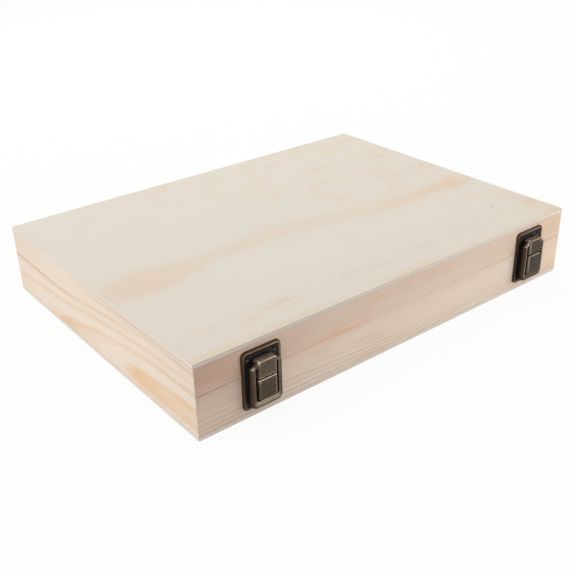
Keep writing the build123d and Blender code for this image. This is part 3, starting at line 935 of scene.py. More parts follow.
# The keeper tongue stands out from its root, bends up and ends below the top of the hook.
TONGUE_SHEET = 0.8 * MM
TONGUE_HALF_WIDTH = 4.0 * MM
TONGUE_HEIGHT = 5.6 * MM
TONGUE_BEND = 0.9 * MM
TONGUE_BELOW_HOOK = 1.2 * MM
TONGUE_ROOT = 0.4 * MM

# The ears stand EAR_INSET inside the lever's sides.
EAR_HALF_SHEET = 0.45 * MM
EAR_INSET = 1.3 * MM


def rimmed_plate(shell, node, up):
    """A plate whose rolled rim runs round three sides. up is 1 if the bottom is open, -1 if the top is."""
    low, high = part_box(node)
    centre = middle_of(node).x
    half_width = half_width_of(node)
    open_height, closed_height = (low.z, high.z) if up > 0 else (high.z, low.z)
    rim_round = bpy.context.scene.brush_box_brass.rim_rounding
    inner_edge = RIM_WIDTH - RIM_INNER_ROUND

    def path(inset):
        nip = max(PLATE_NIP - inset, LEAST_NIP)
        side = half_width - inset
        nipped, end = open_height + up * nip, closed_height - up * inset
        corner = max(PLATE_CORNER - inset, LEAST_PLATE_CORNER)
        left = [(-side + nip, open_height), (-side, nipped), (-side, end)]
        return rounded(*mirrored(left, [0, 0, corner]), 7, closed=False)

    # Distance in from the edge, height above the wood, wear with painted highlight, and blackening with
    # painted shade, which also darkens the rim's outer side.
    outer_centre = (rim_round, RIM_HEIGHT - rim_round)
    inner_centre = (inner_edge, RIM_HEIGHT - RIM_INNER_ROUND)
    profile = [
        (0, 0, 0, 0.7),
        *worn_and_sheened_arc(outer_centre, rim_round, 180, 90, 6, 0.0, end_blackening_and_shade=(0.5, 0.5)),
        (inner_edge - RIM_SHINE, RIM_HEIGHT, 0.6, 0.1),
        *worn_and_sheened_arc(inner_centre, RIM_INNER_ROUND, 90, 0, 4, 1.0, crest=0.3),
        (RIM_WIDTH + RIM_FOOT, SHEET + RIM_FOOT_HEIGHT, 0, 0.95),
        (RIM_WIDTH + RIM_SHADOWS[0], SHEET, 0, 0.6),
        (RIM_WIDTH + RIM_SHADOWS[1], SHEET, 0, 0.9),
    ]
    rings = []
    for inset, proud, worn, recess in profile:
        ring = []
        for point in path(inset):
            # The painted highlight on the rim keeps to its top and fades down its sides; the base plate keeps
            # little of it.
            along_side = limited(abs(closed_height - point.y) / RIM_FADE)
            kept = 1 - 0.8 * along_side if up > 0 else 0.2
            ring.append(Spot(on_face(FRONT, centre + point.x, point.y, proud), worn * kept, recess))
        rings.append(ring)
    rows = shell.skin(rings, closed_rings=False)
    shell.mesh.faces.new([row[0] for row in rows] + [row[-1] for row in reversed(rows)])


def bent_strip(shell, centre, half_width, profile):
    """A strip of sheet of constant section. The profile is a list of (proud, height) around the section."""
    middle = sum((Vector(point) for point in profile), Vector((0, 0))) / len(profile)
    inside = half_width - STRIP_EDGE
    rings = []
    for across, shrink in ((-half_width, STRIP_EDGE), (-inside, 0), (inside, 0), (half_width, STRIP_EDGE)):
        ring = []
        for corner in profile:
            point = Vector(corner)
            point += (middle - point).normalized() * shrink
            ring.append(Spot(on_face(FRONT, centre + across, point.y, point.x), 0, 0.5))
        rings.append(ring)
    shell.skin(rings)


def strike_plate(hand):
    """The lid's plate with its keeper tongue."""
    node = f"{hand}_strike_plate"
    front = proud_of(FRONT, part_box(node)[0].y)
    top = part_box(f"{hand}_hook_frame")[1].z - TONGUE_BELOW_HOOK
    root = top - TONGUE_HEIGHT
    tip_round = TONGUE_SHEET / 2
    shell = Shell()
    rimmed_plate(shell, node, up=1)
    profile = [
        (TONGUE_ROOT, root),
        *arc((front - TONGUE_BEND, root + TONGUE_BEND), TONGUE_BEND, -90, 0, 5),
        *arc((front - tip_round, top - tip_round), tip_round, 0, 180, 5),
        (front - TONGUE_SHEET, root + TONGUE_SHEET),
        (TONGUE_ROOT, root + TONGUE_SHEET),
    ]
    bent_strip(shell, middle_of(node).x, TONGUE_HALF_WIDTH, profile)
    return shell.fitting(node)


def base_plate(hand):
    """The box's plate with the two ears that carry the lever's pin."""
    node = f"{hand}_base_plate"
    pin = middle_of(f"{hand}_lever_pin")
    axis = (proud_of(FRONT, pin.y), pin.z)
    ear_radius = proud_of(FRONT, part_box(node)[0].y) - axis[0]
    ear_middle = half_width_of(f"{hand}_lever") - EAR_INSET - EAR_HALF_SHEET
    outline = [
        (EAR_HALF_SHEET, pin.z - ear_radius),
        *arc(axis, ear_radius, -90, 90, 10),
        (EAR_HALF_SHEET, pin.z + ear_radius),
    ]
    shell = Shell()
    rimmed_plate(shell, node, up=-1)
    for side in (-1, 1):
        bent_strip(shell, middle_of(node).x + side * ear_middle, EAR_HALF_SHEET, outline)
    return shell.fitting(node)


# ---- levers and hook frames


# The wear and painted highlight of an edge ends FADE beyond it, and the painted highlight of a block's corner
# ends CORNER_GLINT below its crown. The front of a block is BLOCK_LIP deep. The flanges at the lever's sides
# start FLANGE_INSET from its ends, with points FLANGE_STEP apart, and they give way to the block's open back
# within FLANGE_CUT.
FADE = 0.4 * MM
CORNER_GLINT = 3.2 * MM
BLOCK_LIP = 2.1 * MM
LEVER_EDGE = 0.55 * MM
LEVER_CORNERS = (1.6 * MM, 0.9 * MM)
FLANGE_INSET = 2.0 * MM
FLANGE_STEP = 0.8 * MM
FLANGE_CUT = 0.02 * MM

# The hook's block starts HOOK_GAP above the lever. Its sheet is bent by HOOK_BEND over the face, curls down
# by HOOK_CURL behind the tongue and ends HOOK_LEG below the top.
HOOK_GAP = 1.1 * MM
HOOK_EDGE = 0.5 * MM
HOOK_BEND = 1.1 * MM
HOOK_CURL = 0.8 * MM
HOOK_LEG = 1.9 * MM
HOOK_CORNERS = (0.9 * MM, 2.2 * MM)
HOOK_FLANGE_BACK = 4.0 * MM
HOOK_FLANGE_FOOT = 1.2 * MM
HOOK_FLANGE_STEP = 0.6 * MM
HOOK_FLANGE_HEAD = 3.2 * MM
HOOK_FLANGE_LEG = 1.6 * MM

# The pulled frame. Its shoulders start SHOULDER_DROP below the hook's top and fall by SHOULDER_SLOPE, its
# ends lie UNDER_BLOCK inside the block's sides, and its window ends WINDOW_GAP below the lever. SIDE_LEANS
# are how far the outer side leans in at the back, SIDE_RISE in front of it, and SIDE_DROP behind the rounded
# edge. WINDOW_ROUNDS are the radii of the window's edge along the arms and at the grip.
FRAME_BACK = 2.0 * MM
ARM_WIDTH = 3.4 * MM
SIDE_LEANS = (0.5 * MM, 0.35 * MM, 0.1 * MM)
SIDE_RISE = 2.0 * MM
SIDE_DROP = 0.7 * MM
UNDER_BLOCK = 1.6 * MM
SHOULDER_DROP = 1.3 * MM
SHOULDER_SLOPE = 3.0 * MM
SHOULDER_ROUND = 2.2 * MM
GRIP_ROUND = 4.0 * MM
GROOVE_DROP = 0.4 * MM
GROOVE_ROUND = 0.8 * MM
WINDOW_GAP = 1.0 * MM
WINDOW_CORNER = 1.6 * MM
WINDOW_ROUNDS = (0.5 * MM, 1.2 * MM)
WINDOW_EDGE = 0.3 * MM
LONGEST_STEP = 2.0 * MM

# The painted highlight at the tip of a shoulder: its reach, and its middle's place from the frame's corner.
TIP_GLINT = 1.1 * MM
TIP_INSET = 0.3 * MM
TIP_RISE = 0.4 * MM

# How much wear and painted highlight each place of a latch has, from 0 to 1. side_shade is how much painted
# shade darkens its blocks' sides, and the wear and painted reflection of the grip's window edge is grip_edge.
LatchWearAndSheen = namedtuple(
    "LatchWearAndSheen",
    "hook_foot hook_head hook_top lever_head block_left block_right block_corner side_shade "
    "shoulder_left shoulder_right slope left_arm right_arm grip_edge grip",
)
LATCH_WEARS_AND_SHEENS = {
    "left": LatchWearAndSheen(
        hook_foot=0.85, hook_head=0.68, hook_top=0.65, lever_head=0.85, block_left=0.09, block_right=0.25,
        block_corner=0.9, side_shade=0.8, shoulder_left=1.0, shoulder_right=0.12, slope=0.05,
        left_arm=0.05, right_arm=0.12, grip_edge=0.5, grip=0.46,
    ),
    "right": LatchWearAndSheen(
        hook_foot=0.1, hook_head=0.27, hook_top=0.48, lever_head=0.45, block_left=0.42, block_right=0.06,
        block_corner=0.5, side_shade=0.1, shoulder_left=0.4, shoulder_right=0.3, slope=0.9,
        left_arm=0.4, right_arm=0.17, grip_edge=0.0, grip=0.08,
    ),
}

# A section of a block: its distance from the middle, how far the outside has drawn in there, its share of
# the side's wear and painted highlight, and whether the sheet is turned back there as a flange.
Station = namedtuple("Station", "distance inset share flanged")


def pressed_block(shell, centre, half_width, latch_wear_and_sheen, corners, outer, inner, flange):
    """A pressed block: sections across its width, rounded at the sides and at the corners.

    outer(inset, foot, head) is the outside of the section as (proud, height, wear with painted highlight,
    blackening with painted shade), where inset is how far it has drawn in at the side, and foot and head how
    far the bottom and the top have at the corner.
    inner is the inside behind the face, and flange(inset) the edge of the sheet that is turned back at each
    side, both as (proud, height). corners are the radii of the bottom and top corners.
    """
    rounding = bpy.context.scene.brush_box_brass.block_rounding
    flat = half_width - rounding
    if flat - FADE > half_width - SHEET:
        raise RuntimeError("the block's rounding is thinner than its sheet")

    def drop(distance, corner):
        reach = max(distance - (half_width - corner), 0.0)
        return corner - math.sqrt(max(corner * corner - reach * reach, 0.0))

    def section(hand, station):
        # The sides carry painted highlight lines and, on their round, painted shade; the left top corner
        # carries a painted highlight that runs down from the crown.
        edge_wear_and_sheen = latch_wear_and_sheen.block_left if hand < 0 else latch_wear_and_sheen.block_right
        corner_highlight = latch_wear_and_sheen.block_corner if hand < 0 else 0.0
        side = latch_wear_and_sheen.side_shade * min(2.2 * station.inset / rounding, 1.0)
        outside = outer(station.inset, *(drop(station.distance, corner) for corner in corners))
        crown = max(height for proud, height, worn, recess in outside)
        behind = flange(station.inset) if station.flanged else inner
        x = centre + hand * station.distance
        ring = []
        for proud, height, worn, recess in outside:
            near_crown = limited(1 - (crown - height) / CORNER_GLINT)
            side_wear_and_highlight = station.share * max(edge_wear_and_sheen, corner_highlight * near_crown)
            worn = max(worn * (1 - 0.3 * side), side_wear_and_highlight)
            ring.append(Spot(on_face(FRONT, x, height, proud), worn, max(recess, side * (1 - near_crown))))
        ring += [Spot(on_face(FRONT, x, height, proud), 0, 0.95) for proud, height in reversed(behind)]
        return ring

    stations = [
        Station(flat + x, rounding - y, worn, True)
        for x, y, worn, recess in worn_and_sheened_arc((0, 0), rounding, 0, 90, 8, 1.0, crest=0.75, breadth=0.38)
    ]
    stations.append(Station(flat - FADE, 0.0, 0.0, True))
    stations.append(Station(flat - FADE - FLANGE_CUT, 0.0, 0.0, False))
    stations.append(Station(flat - 2 * FADE, 0.0, 0.0, False))
    left = [section(-1, station) for station in stations]
    right = [section(1, station) for station in reversed(stations)]
    shell.skin(left + right)


def lever(hand):
    """The lower block of the latch: a pressed channel that turns on the ears."""
    node = f"{hand}_lever"
    latch_wear_and_sheen = LATCH_WEARS_AND_SHEENS[hand]
    low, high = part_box(node)
    front, back = (proud_of(FRONT, y) for y in (low.y, high.y))
    lip, behind = front - BLOCK_LIP, front - SHEET
    edge = LEVER_EDGE

    def outer(inset, foot, head):
        bottom, top, face = low.z + 0.2 * inset + foot, high.z - 0.2 * inset - head, front - inset
        # The bottom edge is darkened by painted shade, and the top edge carries a painted highlight.
        return [
            (lip, bottom, 0, 0.8),
            *worn_and_sheened_arc((face - edge, bottom + edge), edge, -90, 0, 4, 0.2, end_blackening_and_shade=(0.4, 0.4)),
            (face, bottom + edge + FADE, 0, 0),
            (face, top - CORNER_GLINT, 0, 0),
            (face, top - edge - FADE, 0, 0),
            *worn_and_sheened_arc((face - edge, top - edge), edge, 0, 90, 4, latch_wear_and_sheen.lever_head, crest=0.3),
            (lip, top, 0, 0.8),
        ]

    def flange(inset):
        first, last = low.z + FLANGE_INSET, high.z - FLANGE_INSET
        heights = (first, first + FLANGE_STEP, last - FLANGE_STEP, last)
        return [(back, height) for height in heights]

    bottom, top = low.z + SHEET, high.z - SHEET
    inner = [(lip, bottom), (behind, bottom), (behind, top), (lip, top)]
    middle, half_width = middle_of(node).x, half_width_of(node)
    shell = Shell()
    pressed_block(shell, middle, half_width, latch_wear_and_sheen, LEVER_CORNERS, outer, inner, flange)
    return shell.fitting(node)


def hook_block(shell, hand):
    """The upper block of the latch: a pressed cap whose back is turned down behind the tongue as a hook."""
    node = f"{hand}_hook_frame"
    latch_wear_and_sheen = LATCH_WEARS_AND_SHEENS[hand]
    low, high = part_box(node)
    front, hook_back = (proud_of(FRONT, y) for y in (low.y, high.y))
    block_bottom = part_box(f"{hand}_lever")[1].z + HOOK_GAP
    leg_end = high.z - HOOK_LEG
    lip, behind, under = front - BLOCK_LIP, front - SHEET, high.z - SHEET
    edge, bend, curl = HOOK_EDGE, HOOK_BEND, HOOK_CURL
    shadows = [0.9 * (1 - latch_wear_and_sheen.hook_foot)] * 2

    def outer(inset, foot, head):
        face, top, back = front - inset, high.z - inset, hook_back + 0.4 * inset
        bottom = block_bottom + 0.2 * inset + foot
        crown = top - 0.8 * head
        foot_centre, head_centre = (face - edge, bottom + edge), (face - bend, crown - bend)
        # The foot's edge has a painted highlight, with painted shade where it is weaker; the bend over the
        # face has a painted highlight, and the top is lightened as painted light where it reflects little.
        return [
            (lip, bottom, 0, 0.8),
            *worn_and_sheened_arc(foot_centre, edge, -90, 0, 4, latch_wear_and_sheen.hook_foot, crest=0.8, end_blackening_and_shade=shadows),
            (face, bottom + edge + FADE, 0, 0),
            (face, crown - CORNER_GLINT, 0, 0),
            (face, crown - bend - FADE, 0, 0),
            *worn_and_sheened_arc(head_centre, bend, 0, 90, 6, latch_wear_and_sheen.hook_head, crest=0.45, breadth=0.42),
            (face - bend - FADE, crown, latch_wear_and_sheen.hook_top, 0),
            *worn_and_sheened_arc((back + curl, top - curl), curl, 90, 180, 5, latch_wear_and_sheen.hook_top, breadth=math.inf),
            (back, leg_end - 0.6 * inset, 0, 0.5),
        ]

    def flange(inset):
        leg = hook_back + SHEET + 0.5 * inset
        foot = block_bottom + HOOK_FLANGE_FOOT
        return [
            (HOOK_FLANGE_BACK, foot),
            (HOOK_FLANGE_BACK, foot + HOOK_FLANGE_STEP),
            (HOOK_FLANGE_BACK, high.z - HOOK_FLANGE_HEAD),
            (leg, high.z - HOOK_FLANGE_LEG - inset),
            (leg, leg_end - 0.6 * inset),
        ]

    bottom, inside_leg = block_bottom + SHEET, hook_back + SHEET
    inner = [(lip, bottom), (behind, bottom), (behind, under), (inside_leg, under), (inside_leg, leg_end)]
    half_block = half_width_of(f"{hand}_lever")
    pressed_block(shell, middle_of(node).x, half_block, latch_wear_and_sheen, HOOK_CORNERS, outer, inner, flange)


def spread(pairs, longest):
    """Pairs of outline points, with more pairs put between those that lie far apart."""
    made = pairs[:1]
    for outside, inside in pairs[1:]:
        last_outside, last_inside = made[-1]
        parts = max(math.ceil((outside - last_outside).length / longest), 1)
        for i in range(1, parts + 1):
            made.append((last_outside.lerp(outside, i / parts), last_inside.lerp(inside, i / parts)))
    return made


def frame_section(width, front, latch_wear_and_sheen, peak_wear_and_sheen, arm, at_grip):
    """The section of the pulled frame, as (distance in from its outline, proud, wear with painted highlight,
    blackening with painted shade).

    The fourth argument is the wear and painted highlight of the outer edge, and arm that of the face along an
    arm. at_grip is 1 at the grip.
    """
    arm_round = bpy.context.scene.brush_box_brass.arm_rounding
    # The arms' faces, the grip and the window's edge carry wear and painted highlights and reflections, and
    # the grip's edge painted shade where its reflection is weak.
    arm_wear_and_sheen = arm * (1 - at_grip)
    grip_wear_and_sheen = latch_wear_and_sheen.grip * at_grip
    face_wear_and_sheen = arm_wear_and_sheen + grip_wear_and_sheen
    edge_wear_and_sheen = arm_wear_and_sheen + latch_wear_and_sheen.grip_edge * at_grip
    edge_blackening_and_shade = [0.5 * (1 - latch_wear_and_sheen.grip_edge) * at_grip] * 2
    window_round = WINDOW_ROUNDS[0] + (WINDOW_ROUNDS[1] - WINDOW_ROUNDS[0]) * at_grip
    flat = width - window_round - arm_round
    arm_centre, window_centre = (arm_round, front - arm_round), (width - window_round, front - window_round)
    window_edge = front - window_round - WINDOW_EDGE
    return [
        # The back of the outer side is black as painted shadow under the arm, lightening towards the rounded
        # edge.
        (SIDE_LEANS[0], FRAME_BACK, 0, 1),
        (SIDE_LEANS[1], FRAME_BACK + SIDE_RISE, 0, 1),
        (SIDE_LEANS[2], front - arm_round - SIDE_DROP, 0, 0.75),
        *worn_and_sheened_arc(arm_centre, arm_round, 180, 90, 6, peak_wear_and_sheen, crest=0.7, end_blackening_and_shade=(0.75, 0.0)),
        (arm_round + 0.3 * flat, front, 0.3 * arm_wear_and_sheen + grip_wear_and_sheen, 0.0),
        (arm_round + 0.6 * flat, front, 0.8 * face_wear_and_sheen, 0.25 * at_grip),
        (arm_round + 0.85 * flat, front, face_wear_and_sheen, 0.0),
        *worn_and_sheened_arc(window_centre, window_round, 90, 0, 5, edge_wear_and_sheen, crest=0.3, end_blackening_and_shade=edge_blackening_and_shade),
        (width, window_edge, 0, 0.9),
        (SHEET, window_edge, 0, 0.9),
        (SHEET, FRAME_BACK, 0, 0.7),
    ]


def pulled_frame(shell, hand):
    """The frame, from its left shoulder down, round the grip and up to its right shoulder."""
    node = f"{hand}_hook_frame"
    latch_wear_and_sheen = LATCH_WEARS_AND_SHEENS[hand]
    low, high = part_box(node)
    front = proud_of(FRONT, low.y) - bpy.context.scene.brush_box_brass.block_relief
    centre = middle_of(node).x
    half_width = half_width_of(node)
    half_block = half_width_of(f"{hand}_lever")
    inside_block = half_block - UNDER_BLOCK
    window_side = half_width - ARM_WIDTH
    window_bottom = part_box(f"{hand}_lever")[0].z - WINDOW_GAP
    shoulder_top = high.z - SHOULDER_DROP
    shoulder = shoulder_top - SHOULDER_SLOPE
    groove_end = shoulder - GROOVE_DROP
    covered_top = shoulder_top + SHOULDER_SLOPE * UNDER_BLOCK / (half_width - half_block)
    outline = mirrored(
        [(-inside_block, covered_top), (-half_width, shoulder), (-half_width, low.z)],
        [0, SHOULDER_ROUND, GRIP_ROUND],
    )
    window = mirrored(
        [(-inside_block, groove_end), (-window_side, groove_end), (-window_side, window_bottom)],
        [0, GROOVE_ROUND, WINDOW_CORNER],
    )
    pairs = list(zip(rounded(*outline, 8, closed=False), rounded(*window, 8, closed=False)))
    # Painted highlights at the tips of the shoulders.
    tips = [
        (Vector((side * (half_width - TIP_INSET), shoulder + TIP_RISE)), worn)
        for side, worn in ((-1, latch_wear_and_sheen.shoulder_left), (1, latch_wear_and_sheen.shoulder_right))
    ]
    rings = []
    for outside, inside in spread(pairs, LONGEST_STEP):
        across = inside - outside
        at_grip = limited((window_bottom + WINDOW_CORNER - inside.y) / WINDOW_CORNER)
        # The outer edge has a painted highlight as a spot at each shoulder's tip and a line along the slope,
        # and the face along each arm wear and a painted highlight.
        at_tip = max(worn * (1 - (outside - tip).length / TIP_GLINT) for tip, worn in tips)
        on_slope = limited((outside.y - shoulder) / SHOULDER_ROUND) ** 1.4
        peak_wear_and_sheen = max(min(2.5 * at_tip, 1.0), latch_wear_and_sheen.slope * on_slope)
        arm = latch_wear_and_sheen.left_arm if outside.x < 0 else latch_wear_and_sheen.right_arm
        section = frame_section(across.length, front, latch_wear_and_sheen, peak_wear_and_sheen, arm, at_grip)
        ring = []
        for distance, proud, worn, recess in section:
            point = outside + across.normalized() * distance
            ring.append(Spot(on_face(FRONT, centre + point.x, point.y, proud), worn, recess))
        rings.append(ring)
    shell.skin(rings)


def hook_frame(hand):
    """The frame that is pulled, with the hook's block above its window."""
    shell = Shell()
    pulled_frame(shell, hand)
    hook_block(shell, hand)
    return shell.fitting(f"{hand}_hook_frame")


# ---- pins and nails


# Of each kind of pin: the radius of its head, the radius of its shank and the length of its head. A nail's
# dome starts at DOME_RIM of its height, and its shank tapers from NAIL_TAPER of its length.
LEVER_PIN = (1.1 * MM, 0.7 * MM, 0.35 * MM)
FRAME_PIN = (0.7 * MM, 0.68 * MM, 0.3 * MM)
HINGE_PIN = (1.2 * MM, 0.8 * MM, 0.4 * MM)
PIN_EDGE = 0.12 * MM
NAIL_HEAD_RADIUS = 1.6 * MM
NAIL_HEAD_HEIGHT = 0.6 * MM
NAIL_SHANK_RADIUS = 0.6 * MM
NAIL_LENGTH = 7.4 * MM
NAIL_TAPER = 0.82
NAIL_SIDES = 28
DOME_STEPS = 6
DOME_RIM = 0.25
# The steps of a nail's dome that carry its painted glint.
GLINT_STEPS = (3, 4, 5)
LATCH_NAIL_REACH = 10.2 * MM
HINGE_NAIL_REACH = 9.5 * MM
WELD_DISTANCE = 1e-7


def turned(shell, centre, axis, profile, steps=24, glint=0.0):
    """A form of revolution. The profile is a list of (radius, distance along the axis, wear with painted
    highlight, blackening with painted shade).

    glint is the share of the painted highlight that is kept only on the lower side, a painted reflection of
    the floor.
    """
    axis = Vector(axis)
    side = axis.orthogonal().normalized()
    other = axis.cross(side)
    rings = []
    for step in range(steps):
        angle = 2 * math.pi * step / steps
        outward = side * math.cos(angle) + other * math.sin(angle)
        # The glint is a painted reflection of the floor, kept to the lower side.
        kept = 1 - glint + glint * max(-outward.z, 0.0) ** 2
        rings.append([
            Spot(centre + axis * distance + outward * radius, worn * kept, recess)
            for radius, distance, worn, recess in profile
        ])
    shell.skin(rings, closed_rings=False, closed_loop=True)
    bmesh.ops.remove_doubles(shell.mesh, verts=shell.mesh.verts[:], dist=WELD_DISTANCE)


def nail_profile(rubbed_and_sheen):
    """A domed nail from its crown to its point, with a painted glint on a ring of its head."""
    made = []
    for i in range(DOME_STEPS + 1):
        slant = i / DOME_STEPS * math.pi / 2
        height = NAIL_HEAD_HEIGHT * (DOME_RIM + (1 - DOME_RIM) * math.cos(slant))
        worn = rubbed_and_sheen if i in GLINT_STEPS else 0
        made.append((NAIL_HEAD_RADIUS * math.sin(slant), height, worn, 1))
    return made + [
        (NAIL_HEAD_RADIUS, 0.0, 0, 1),
        (NAIL_SHANK_RADIUS, 0.0, 0, 0.8),
        (NAIL_SHANK_RADIUS, -NAIL_LENGTH * NAIL_TAPER, 0, 0.5),
        (0.0, -NAIL_LENGTH, 0, 0.5),
    ]


def nails(node, facing, fitting, reach, rubbed_and_sheen):
    """One group of nails: two through the fitting of each hand, at this reach from its middle."""
    height = middle_of(node).z
    profile = nail_profile(rubbed_and_sheen)
    shell = Shell()
    for hand in HANDS:
        for across in (-reach, reach):
            head = on_face(facing, middle_of(f"{hand}_{fitting}").x + across, height, SHEET)
            turned(shell, head, (0, facing, 0), profile, NAIL_SIDES, glint=1.0)
    return shell.fitting(node)


def rivet(node, sizes, rubbed_and_sheen=0.6):
    """A pin across the latch or the hinge, with a softened head at each end."""
    head_radius, shank_radius, head_length = sizes
    end = -half_width_of(node)
    profile = [
        (0.0, end, rubbed_and_sheen / 3, 0.0),
        (head_radius - PIN_EDGE, end, rubbed_and_sheen, 0.0),
        (head_radius, end + PIN_EDGE, rubbed_and_sheen, 0.0),
        (head_radius, end + head_length, 0, 0.4),
        (shank_radius, end + head_length, 0, 0.6),
    ]
    profile += [(radius, -distance, worn, recess) for radius, distance, worn, recess in reversed(profile)]
    shell = Shell()
    turned(shell, middle_of(node), (1, 0, 0), profile)
    return shell.fitting(node)


# ---- hinges


HINGE_HALF_WIDTH = 15.0 * MM
HINGE_EDGE = 0.18 * MM
LEAF_CORNER = 1.0 * MM
LEAST_LEAF_CORNER = 0.1 * MM
ROOT_CORNER = 0.15 * MM
ROOT_LAP = 0.1 * MM
BARREL_RADIUS = 1.6 * MM
BORE_RADIUS = 0.85 * MM
BARREL_GAP = 0.35 * MM
KNUCKLES = 5
KNUCKLE_GAP = 0.05 * MM
CURL_START = 180
CURL_END = -110


def hinge_leaf(node, pin_node, up, knuckles):
    """One leaf of a butt hinge with these knuckles. up is 1 for the lid's leaf and -1 for the box's."""
    low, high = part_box(node)
    centre = middle_of(node).x
    pin = middle_of(pin_node)
    far = high.z if up > 0 else low.z
    near = pin.z + up * (BARREL_RADIUS + BARREL_GAP)
    soft = HINGE_EDGE

    def ring(inset, proud, worn, recess):
        side = HINGE_HALF_WIDTH - inset
        bottom, top = near + up * inset, far - up * inset
        tip = max(LEAF_CORNER - inset, LEAST_LEAF_CORNER)
        corners = [(-side, bottom), (side, bottom), (side, top), (-side, top)]
        points = rounded(corners, [ROOT_CORNER, ROOT_CORNER, tip, tip], 4)
        return [Spot(on_face(BACK, centre + p.x, p.y, proud), worn, recess) for p in points]

    def curl(radius, start, end, steps):
        middle = (proud_of(BACK, pin.y), 0.0)
        return [(proud, pin.z + up * height) for proud, height in arc(middle, radius, start, end, steps)]

    levels = [(0.0, 0.0, 0, 0), *worn_and_sheened_arc((soft, SHEET - soft), soft, 180, 90, 4, 0.7)]
    levels.append((soft + FADE, SHEET, 0, 0))
    shell = Shell()
    shell.skin([ring(*level) for level in levels])

    root = near + up * ROOT_LAP
    profile = [
        (0.0, root),
        *curl(BARREL_RADIUS, CURL_START, CURL_END, 20),
        *curl(BORE_RADIUS, CURL_END, CURL_START, 14),
        (SHEET, root),
    ]
    pitch = 2 * HINGE_HALF_WIDTH / KNUCKLES
    for knuckle in knuckles:
        left = centre - HINGE_HALF_WIDTH + knuckle * pitch + KNUCKLE_GAP
        right = left + pitch - 2 * KNUCKLE_GAP
        ends = ((left, 0.6), (left + soft, 0.1), (right - soft, 0.1), (right, 0.6))
        shell.skin([
            [Spot(on_face(BACK, x, height, proud), worn) for proud, height in profile] for x, worn in ends
        ])
    return shell.fitting(node)


# ---- operators


class PieceOperator:
    """What the operators share: they work on the scene and can be undone."""

    bl_options = {"REGISTER", "UNDO"}


class BRUSH_BOX_OT_walls(PieceOperator, bpy.types.Operator):
    """Make the four mitred walls of the tray"""

    bl_idname = "brush_box.walls"
    bl_label = "Tray walls"

    def execute(self, context):
        for side in RUNS:
            board(f"box_{side}_wall", side, seam_on_top=True)
        return {"FINISHED"}


class BRUSH_BOX_OT_rails(PieceOperator, bpy.types.Operator):
    """Make the four mitred rails of the lid"""

    bl_idname = "brush_box.rails"
    bl_label = "Lid rails"

    def execute(self, context):
        for side in RUNS:
            board(f"lid_{side}_rail", side, seam_on_top=False)
        return {"FINISHED"}


class BRUSH_BOX_OT_panels(PieceOperator, bpy.types.Operator):
    """Make the plywood panels above and below"""

    bl_idname = "brush_box.panels"
    bl_label = "Plywood panels"

    def execute(self, context):
        look = context.scene.brush_box_wood
        outer, inner = look.panel_rounding, look.joint_rounding
        panel("lid_panel", outer, inner, look.lid_edge_shade)
        panel("base_panel", inner, outer, look.base_edge_shade)
        return {"FINISHED"}


class BRUSH_BOX_OT_strike_plates(PieceOperator, bpy.types.Operator):
    """Make the lid's plate of each latch"""

    bl_idname = "brush_box.strike_plates"
    bl_label = "Strike plates"

    def execute(self, context):
        for hand in HANDS:
            strike_plate(hand)
        return {"FINISHED"}


class BRUSH_BOX_OT_base_plates(PieceOperator, bpy.types.Operator):
    """Make the box's plate of each latch"""

    bl_idname = "brush_box.base_plates"
    bl_label = "Base plates"

    def execute(self, context):
        for hand in HANDS:
            base_plate(hand)
        return {"FINISHED"}


class BRUSH_BOX_OT_levers(PieceOperator, bpy.types.Operator):
    """Make the lever of each latch"""

    bl_idname = "brush_box.levers"
    bl_label = "Levers"

    def execute(self, context):
        for hand in HANDS:
            lever(hand)
        return {"FINISHED"}


class BRUSH_BOX_OT_hook_frames(PieceOperator, bpy.types.Operator):
    """Make the hook frame of each latch"""

    bl_idname = "brush_box.hook_frames"
    bl_label = "Hook frames"

    def execute(self, context):
        for hand in HANDS:
            hook_frame(hand)
        return {"FINISHED"}


class BRUSH_BOX_OT_latch_pins(PieceOperator, bpy.types.Operator):
    """Make the two rivets of each latch"""

    bl_idname = "brush_box.latch_pins"
    bl_label = "Latch pins"

    def execute(self, context):
        for hand in HANDS:
            rivet(f"{hand}_lever_pin", LEVER_PIN)
            rivet(f"{hand}_frame_pin", FRAME_PIN, rubbed_and_sheen=0.1)
        return {"FINISHED"}


class BRUSH_BOX_OT_latch_nails(PieceOperator, bpy.types.Operator):
    """Make the nails of the latches"""

    bl_idname = "brush_box.latch_nails"
    bl_label = "Latch nails"

    def execute(self, context):
        # The lid's nails carry half a painted glint, the box's none.
        for node, rubbed_and_sheen in (("latch_lid_nails", 0.5), ("latch_box_nails", 0.0)):
            nails(node, FRONT, "strike_plate", LATCH_NAIL_REACH, rubbed_and_sheen)
        return {"FINISHED"}


class BRUSH_BOX_OT_hinges(PieceOperator, bpy.types.Operator):
    """Make the leaves and pins of the hinges"""

    bl_idname = "brush_box.hinges"
    bl_label = "Hinges"

    def execute(self, context):
        for hand in HANDS:
            pin = f"{hand}_hinge_pin"
            hinge_leaf(f"{hand}_hinge_lid_leaf", pin, 1, (1, 3))
            hinge_leaf(f"{hand}_hinge_box_leaf", pin, -1, (0, 2, 4))
            rivet(pin, HINGE_PIN)
        return {"FINISHED"}


class BRUSH_BOX_OT_hinge_nails(PieceOperator, bpy.types.Operator):
    """Make the nails of the hinges"""

    bl_idname = "brush_box.hinge_nails"
    bl_label = "Hinge nails"

    def execute(self, context):
        for node in ("hinge_lid_nails", "hinge_box_nails"):
            # The hinges' nails carry a full painted glint.
            nails(node, BACK, "hinge_lid_leaf", HINGE_NAIL_REACH, 1.0)
        return {"FINISHED"}


# ---- stage


WHITE = (1.0, 1.0, 1.0)
PAPER = (0.93, 0.93, 0.93)
FLOOR_GAP = 0.3 * MM
FLOOR_SQUARES = 8

